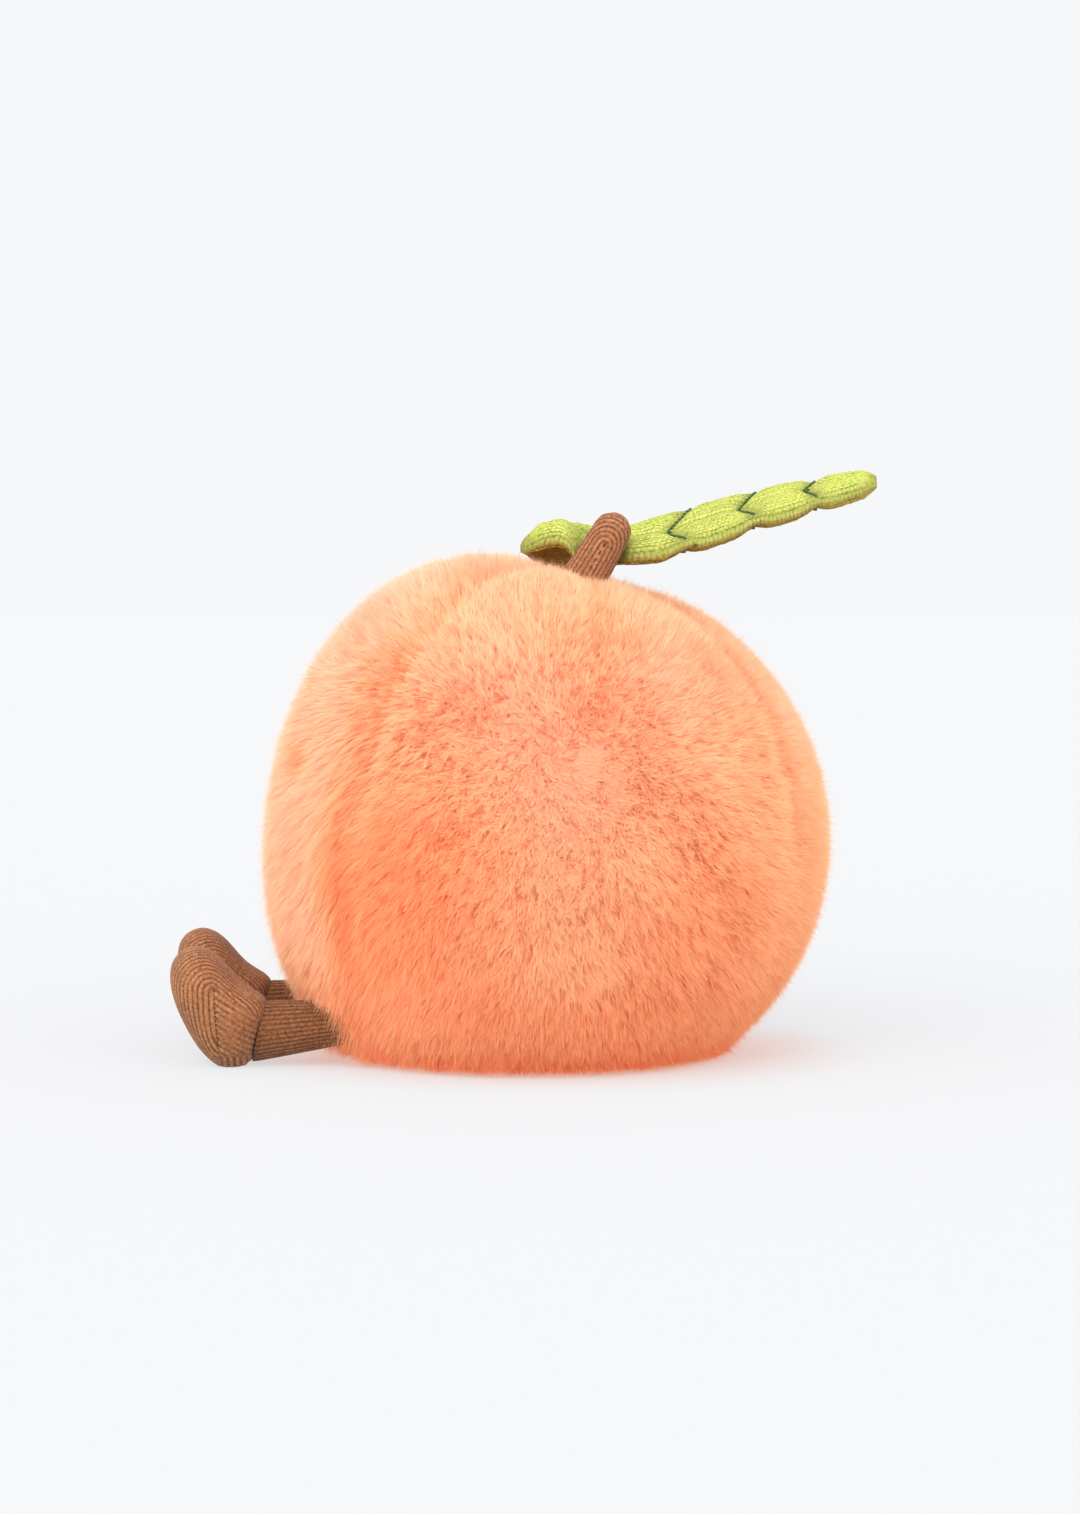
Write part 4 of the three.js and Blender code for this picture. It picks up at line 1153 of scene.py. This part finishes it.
def corduroy_stitch_runs():
    """Stitches along the feet's side seams, round the ankles and up the stem."""
    runs = []
    for side in (1, -1):
        for face in (1, -1):
            line = foot_seam_line(side, face, FOOT_SEAM_TOP, FOOT_SEAM_HEEL)
            lift = np.tile([float(face), 0.0, 0.0], (len(line), 1))
            runs.append(stitched_line(line - 0.32 * lift, lift, *FOOT_STITCH))
        turn = np.linspace(0, 2 * math.pi, 200)
        z = ANKLE_Z + np.cos(turn) * ANKLE_HALF_HEIGHT * 0.97
        x = side * LEG_X + np.sin(turn) * ANKLE_HALF_WIDTH * 0.97
        ring = xyz(x, ankle_y(side, z) - 0.1, z)
        away = unit((ring - ring.mean(axis=0)) * [1, 0, 1])
        runs.append(stitched_line(ring, away, *ANKLE_STITCH))
    for face in (1, -1):
        rise = np.linspace(-2, STEM_SEAM[1] + 2.5, 40)
        line = stem_place(xyz(face * (STEM_HALF_DEPTH - 0.55), 0, rise))
        lift = np.tile([float(face), 0.0, 0.0], (len(rise), 1))
        runs.append(stitched_line(line, lift, *STEM_STITCH))
    return runs


# ---- the base

BASE_COLUMNS = 96
BASE_UNDERSIDE = 0.6        # the disc's underside, from which its pressed pile hangs
BASE_STRANDS = 14_000


def make_base(material, rng):
    """The round panel the toy sits on: a plump disc with its pile pressed flat."""
    outer, under = BASE_RADIUS - 0.4, BASE_UNDERSIDE
    profile = [(outer * 0.35, under), (outer * 0.7, under), (outer - 2.2, under),
               (outer - 0.8, 0.9), (outer, 1.9), (outer, 4.6), (outer - 1.2, 6.0),
               (outer * 0.6, 6.2)]

    def disc_places(radius, turn, z):
        return xyz(radius * np.sin(turn), BASE_CENTRE_Y - radius * np.cos(turn), z)

    rings = [disc_places(radius, circle(BASE_COLUMNS), z) for radius, z in profile]
    caps = np.array([[0, BASE_CENTRE_Y, under], [0, BASE_CENTRE_Y, profile[-1][1]]])
    disc = np.concatenate([*rings, caps])
    disc_faces, disc_uv = outward_faces(disc, *tube_faces(len(profile), BASE_COLUMNS))

    radius = (outer - 1.0) * np.sqrt(rng.random(BASE_STRANDS))
    middle = np.array([0, BASE_CENTRE_Y, under + 0.05])
    root = disc_places(radius, rng.uniform(0, 2 * math.pi, BASE_STRANDS), middle[2])
    swirl = xyz(waves(root, 14, 71), waves(root, 14, 72), 0)
    lean = unit(swirl + unit(root - middle) * 0.7 + rng.normal(0, 0.3, (BASE_STRANDS, 3)))
    tip = root + lean * rng.uniform(1.6, 3.2, BASE_STRANDS)[:, None]
    tip[:, 2] = rng.uniform(0.06, 0.5, BASE_STRANDS)
    flat = unit(np.cross(tip - root, [0, 0, 1])) * 0.16
    fur = np.stack([root - flat, root + flat, tip], 1).reshape(-1, 3)
    fur_tone = np.repeat(np.clip(0.9 + rng.normal(0, 0.1, BASE_STRANDS), 0, 1), 3)
    fur_reach = np.tile([0.0, 0.0, 1.0], BASE_STRANDS)
    fur_faces = np.arange(len(fur)).reshape(-1, 3) + len(disc)

    floats = {"tone": np.concatenate([np.full(len(disc), 0.85), fur_tone]),
              "reach": np.concatenate([np.full(len(disc), 0.2), fur_reach])}
    piece = make_object("plush_base", np.concatenate([disc, fur]),
                        np.concatenate([disc_faces, fur_faces]),
                        np.concatenate([disc_uv, pile_uv(fur_tone, fur_reach)]), floats, material)
    finish_piece(piece, ["base_panel"])


# ---- what is inside

def dress_inside():
    """Gives the fillings, which stay as they are, their own cloths."""
    fibre = fibre_material("filling_fibre", (0.93, 0.92, 0.88), 900)
    pouch = fibre_material("pouch_cloth", (0.72, 0.66, 0.56), 1400)
    for node, material in (("body_stuffing", fibre), ("bean_pouch", pouch),
                           ("stem_filling", fibre), ("leaf_wadding", fibre),
                           ("leg_filling_left", fibre), ("leg_filling_right", fibre)):
        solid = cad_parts[node]
        solid.data.materials.clear()
        solid.data.materials.append(material)


# ---- the scene around it

BACKDROP = np.array([0.921, 0.930, 0.947])
FLOOR_HALF_SIZE = 3000
FLOOR_LIGHT = 2.03                  # what a white floor would shine with in these lights
FLOOR_GLOW = (0.70, 0.70, 0.70)     # share of the brightness that no shadow takes away
WARM_BOUNCE_GLOW = (0.74, 0.44, 0.37)   # the same below the body: painted warm bounce, a red glow the shadow keeps, so the shadow there is pink
CONTACT_MIDDLE = (0.0, 0.008, 0.0)  # the place below the body, in metres
CONTACT_REACH = (0.078, 0.086, 1.0)
CONTACT_FADE = (0.62, 1.0)          # of that reach
SUNS = (                            # energy, spread in degrees and where it shines from
    ("key", 1.8, 50, (0.75, -0.35, 0.7)),
    ("fill", 4.0, 90, (1, 0.1, 0.1)),
    ("left", 2.1, 90, (0.3, -1, 0.2)),
    ("right", 2.2, 90, (0.3, 1, 0.2)),
    ("back", 0.6, 60, (-0.9, 0.1, 0.5)),
)


def floor_material():
    """A pale board that matches the backdrop where it is lit, and keeps a glow where it is not."""
    nodes = Nodes("pale_floor")
    place = nodes.add("ShaderNodeTexCoord").outputs["Object"]
    place = nodes.add("ShaderNodeVectorMath", {0: place, 1: CONTACT_MIDDLE}, operation="SUBTRACT")
    place = nodes.add("ShaderNodeVectorMath", {0: place.outputs[0], 1: CONTACT_REACH},
                      operation="DIVIDE")
    reach = nodes.add("ShaderNodeVectorMath", {0: place.outputs[0]}, operation="LENGTH")
    away = nodes.add("ShaderNodeMapRange", {0: reach.outputs["Value"], 1: CONTACT_FADE[0],
                                            2: CONTACT_FADE[1]}, interpolation_type="SMOOTHSTEP")

    def split(glow):
        """The backdrop's colour as what light gives the board and what it keeps in shadow."""
        kept = np.array(glow)
        return BACKDROP * ((1 - kept) / FLOOR_LIGHT), BACKDROP * kept

    # Below the body the board keeps a red glow in shadow: painted warm bounce light from the fur.
    (contact_lit, contact_kept), (floor_lit, floor_kept) = split(WARM_BOUNCE_GLOW), split(FLOOR_GLOW)
    share = away.outputs["Result"]
    return nodes.surface(nodes.principled(nodes.mix(share, contact_lit, floor_lit), 1.0, 0.0, {
        "Emission Color": nodes.mix(share, contact_kept, floor_kept), "Emission Strength": 1.0}))


def make_floor():
    corners = np.array([[0, 0], [1, 0], [1, 1], [0, 1]])
    points = np.zeros((4, 3))
    points[:, :2] = (2 * corners - 1) * FLOOR_HALF_SIZE
    make_object("floor", points - ROW_SHIFT, np.array([[0, 1, 2, 3]]), corners, {},
                         floor_material())


def make_light():
    world = bpy.data.worlds.new("studio")
    world.use_nodes = True
    background = world.node_tree.nodes["Background"]
    background.inputs["Color"].default_value = (*BACKDROP, 1)
    background.inputs["Strength"].default_value = 1.0
    bpy.context.scene.world = world
    for name, energy, spread, source in SUNS:
        sun = bpy.data.objects.new(name, bpy.data.lights.new(name, "SUN"))
        sun.data.energy = energy
        sun.data.angle = math.radians(spread)
        sun.rotation_euler = (-Vector(source)).to_track_quat("-Z", "Y").to_euler()
        bpy.context.scene.collection.objects.link(sun)
    bpy.context.scene.view_settings.view_transform = "Standard"


make_camera()
make_floor()
make_light()
plush = plush_material("peach_plush")
generator = np.random.default_rng(20)
for wedge in GORES:
    make_gore(wedge, plush, generator)
make_base(plush_material("base_plush"), generator)

cord, shaded_leg_cord, stem_cord = (ribbed_material(*row) for row in CORDUROYS)
for foot_side, foot_word in ((1, "left"), (-1, "right")):
    make_foot(foot_side, foot_word, cord)
    make_leg(foot_side, foot_word, shaded_leg_cord)
make_stem(stem_cord)

leaf_green = nubby_material("leaf_cloth", (0.46, 0.45, 0.14), (0.31, 0.34, 0.06),
                            (0.11, 0.15, 0.016))
# The underside's warmer olive is painted bounce light from the peach body.
leaf_bounce_olive = nubby_material("leaf_back_cloth", (0.46, 0.36, 0.10), (0.33, 0.25, 0.05),
                            (0.14, 0.10, 0.015))
make_leaf_cloth("leaf_top_cloth", "leaf_top", LEAF_PUFF_TOP, 150, 110, leaf_green)
make_leaf_cloth("leaf_back_cloth", "leaf_underside", -LEAF_PUFF_UNDER, 100, 80, leaf_bounce_olive)
make_stitches("leaf_stitches", leaf_stitch_runs(),
              thread_material("green_thread", (0.010, 0.035, 0.005), (0.035, 0.085, 0.012)))
make_stitches("corduroy_stitches", corduroy_stitch_runs(),
              thread_material("brown_thread", (0.03, 0.012, 0.006), (0.08, 0.03, 0.015)))
dress_inside()
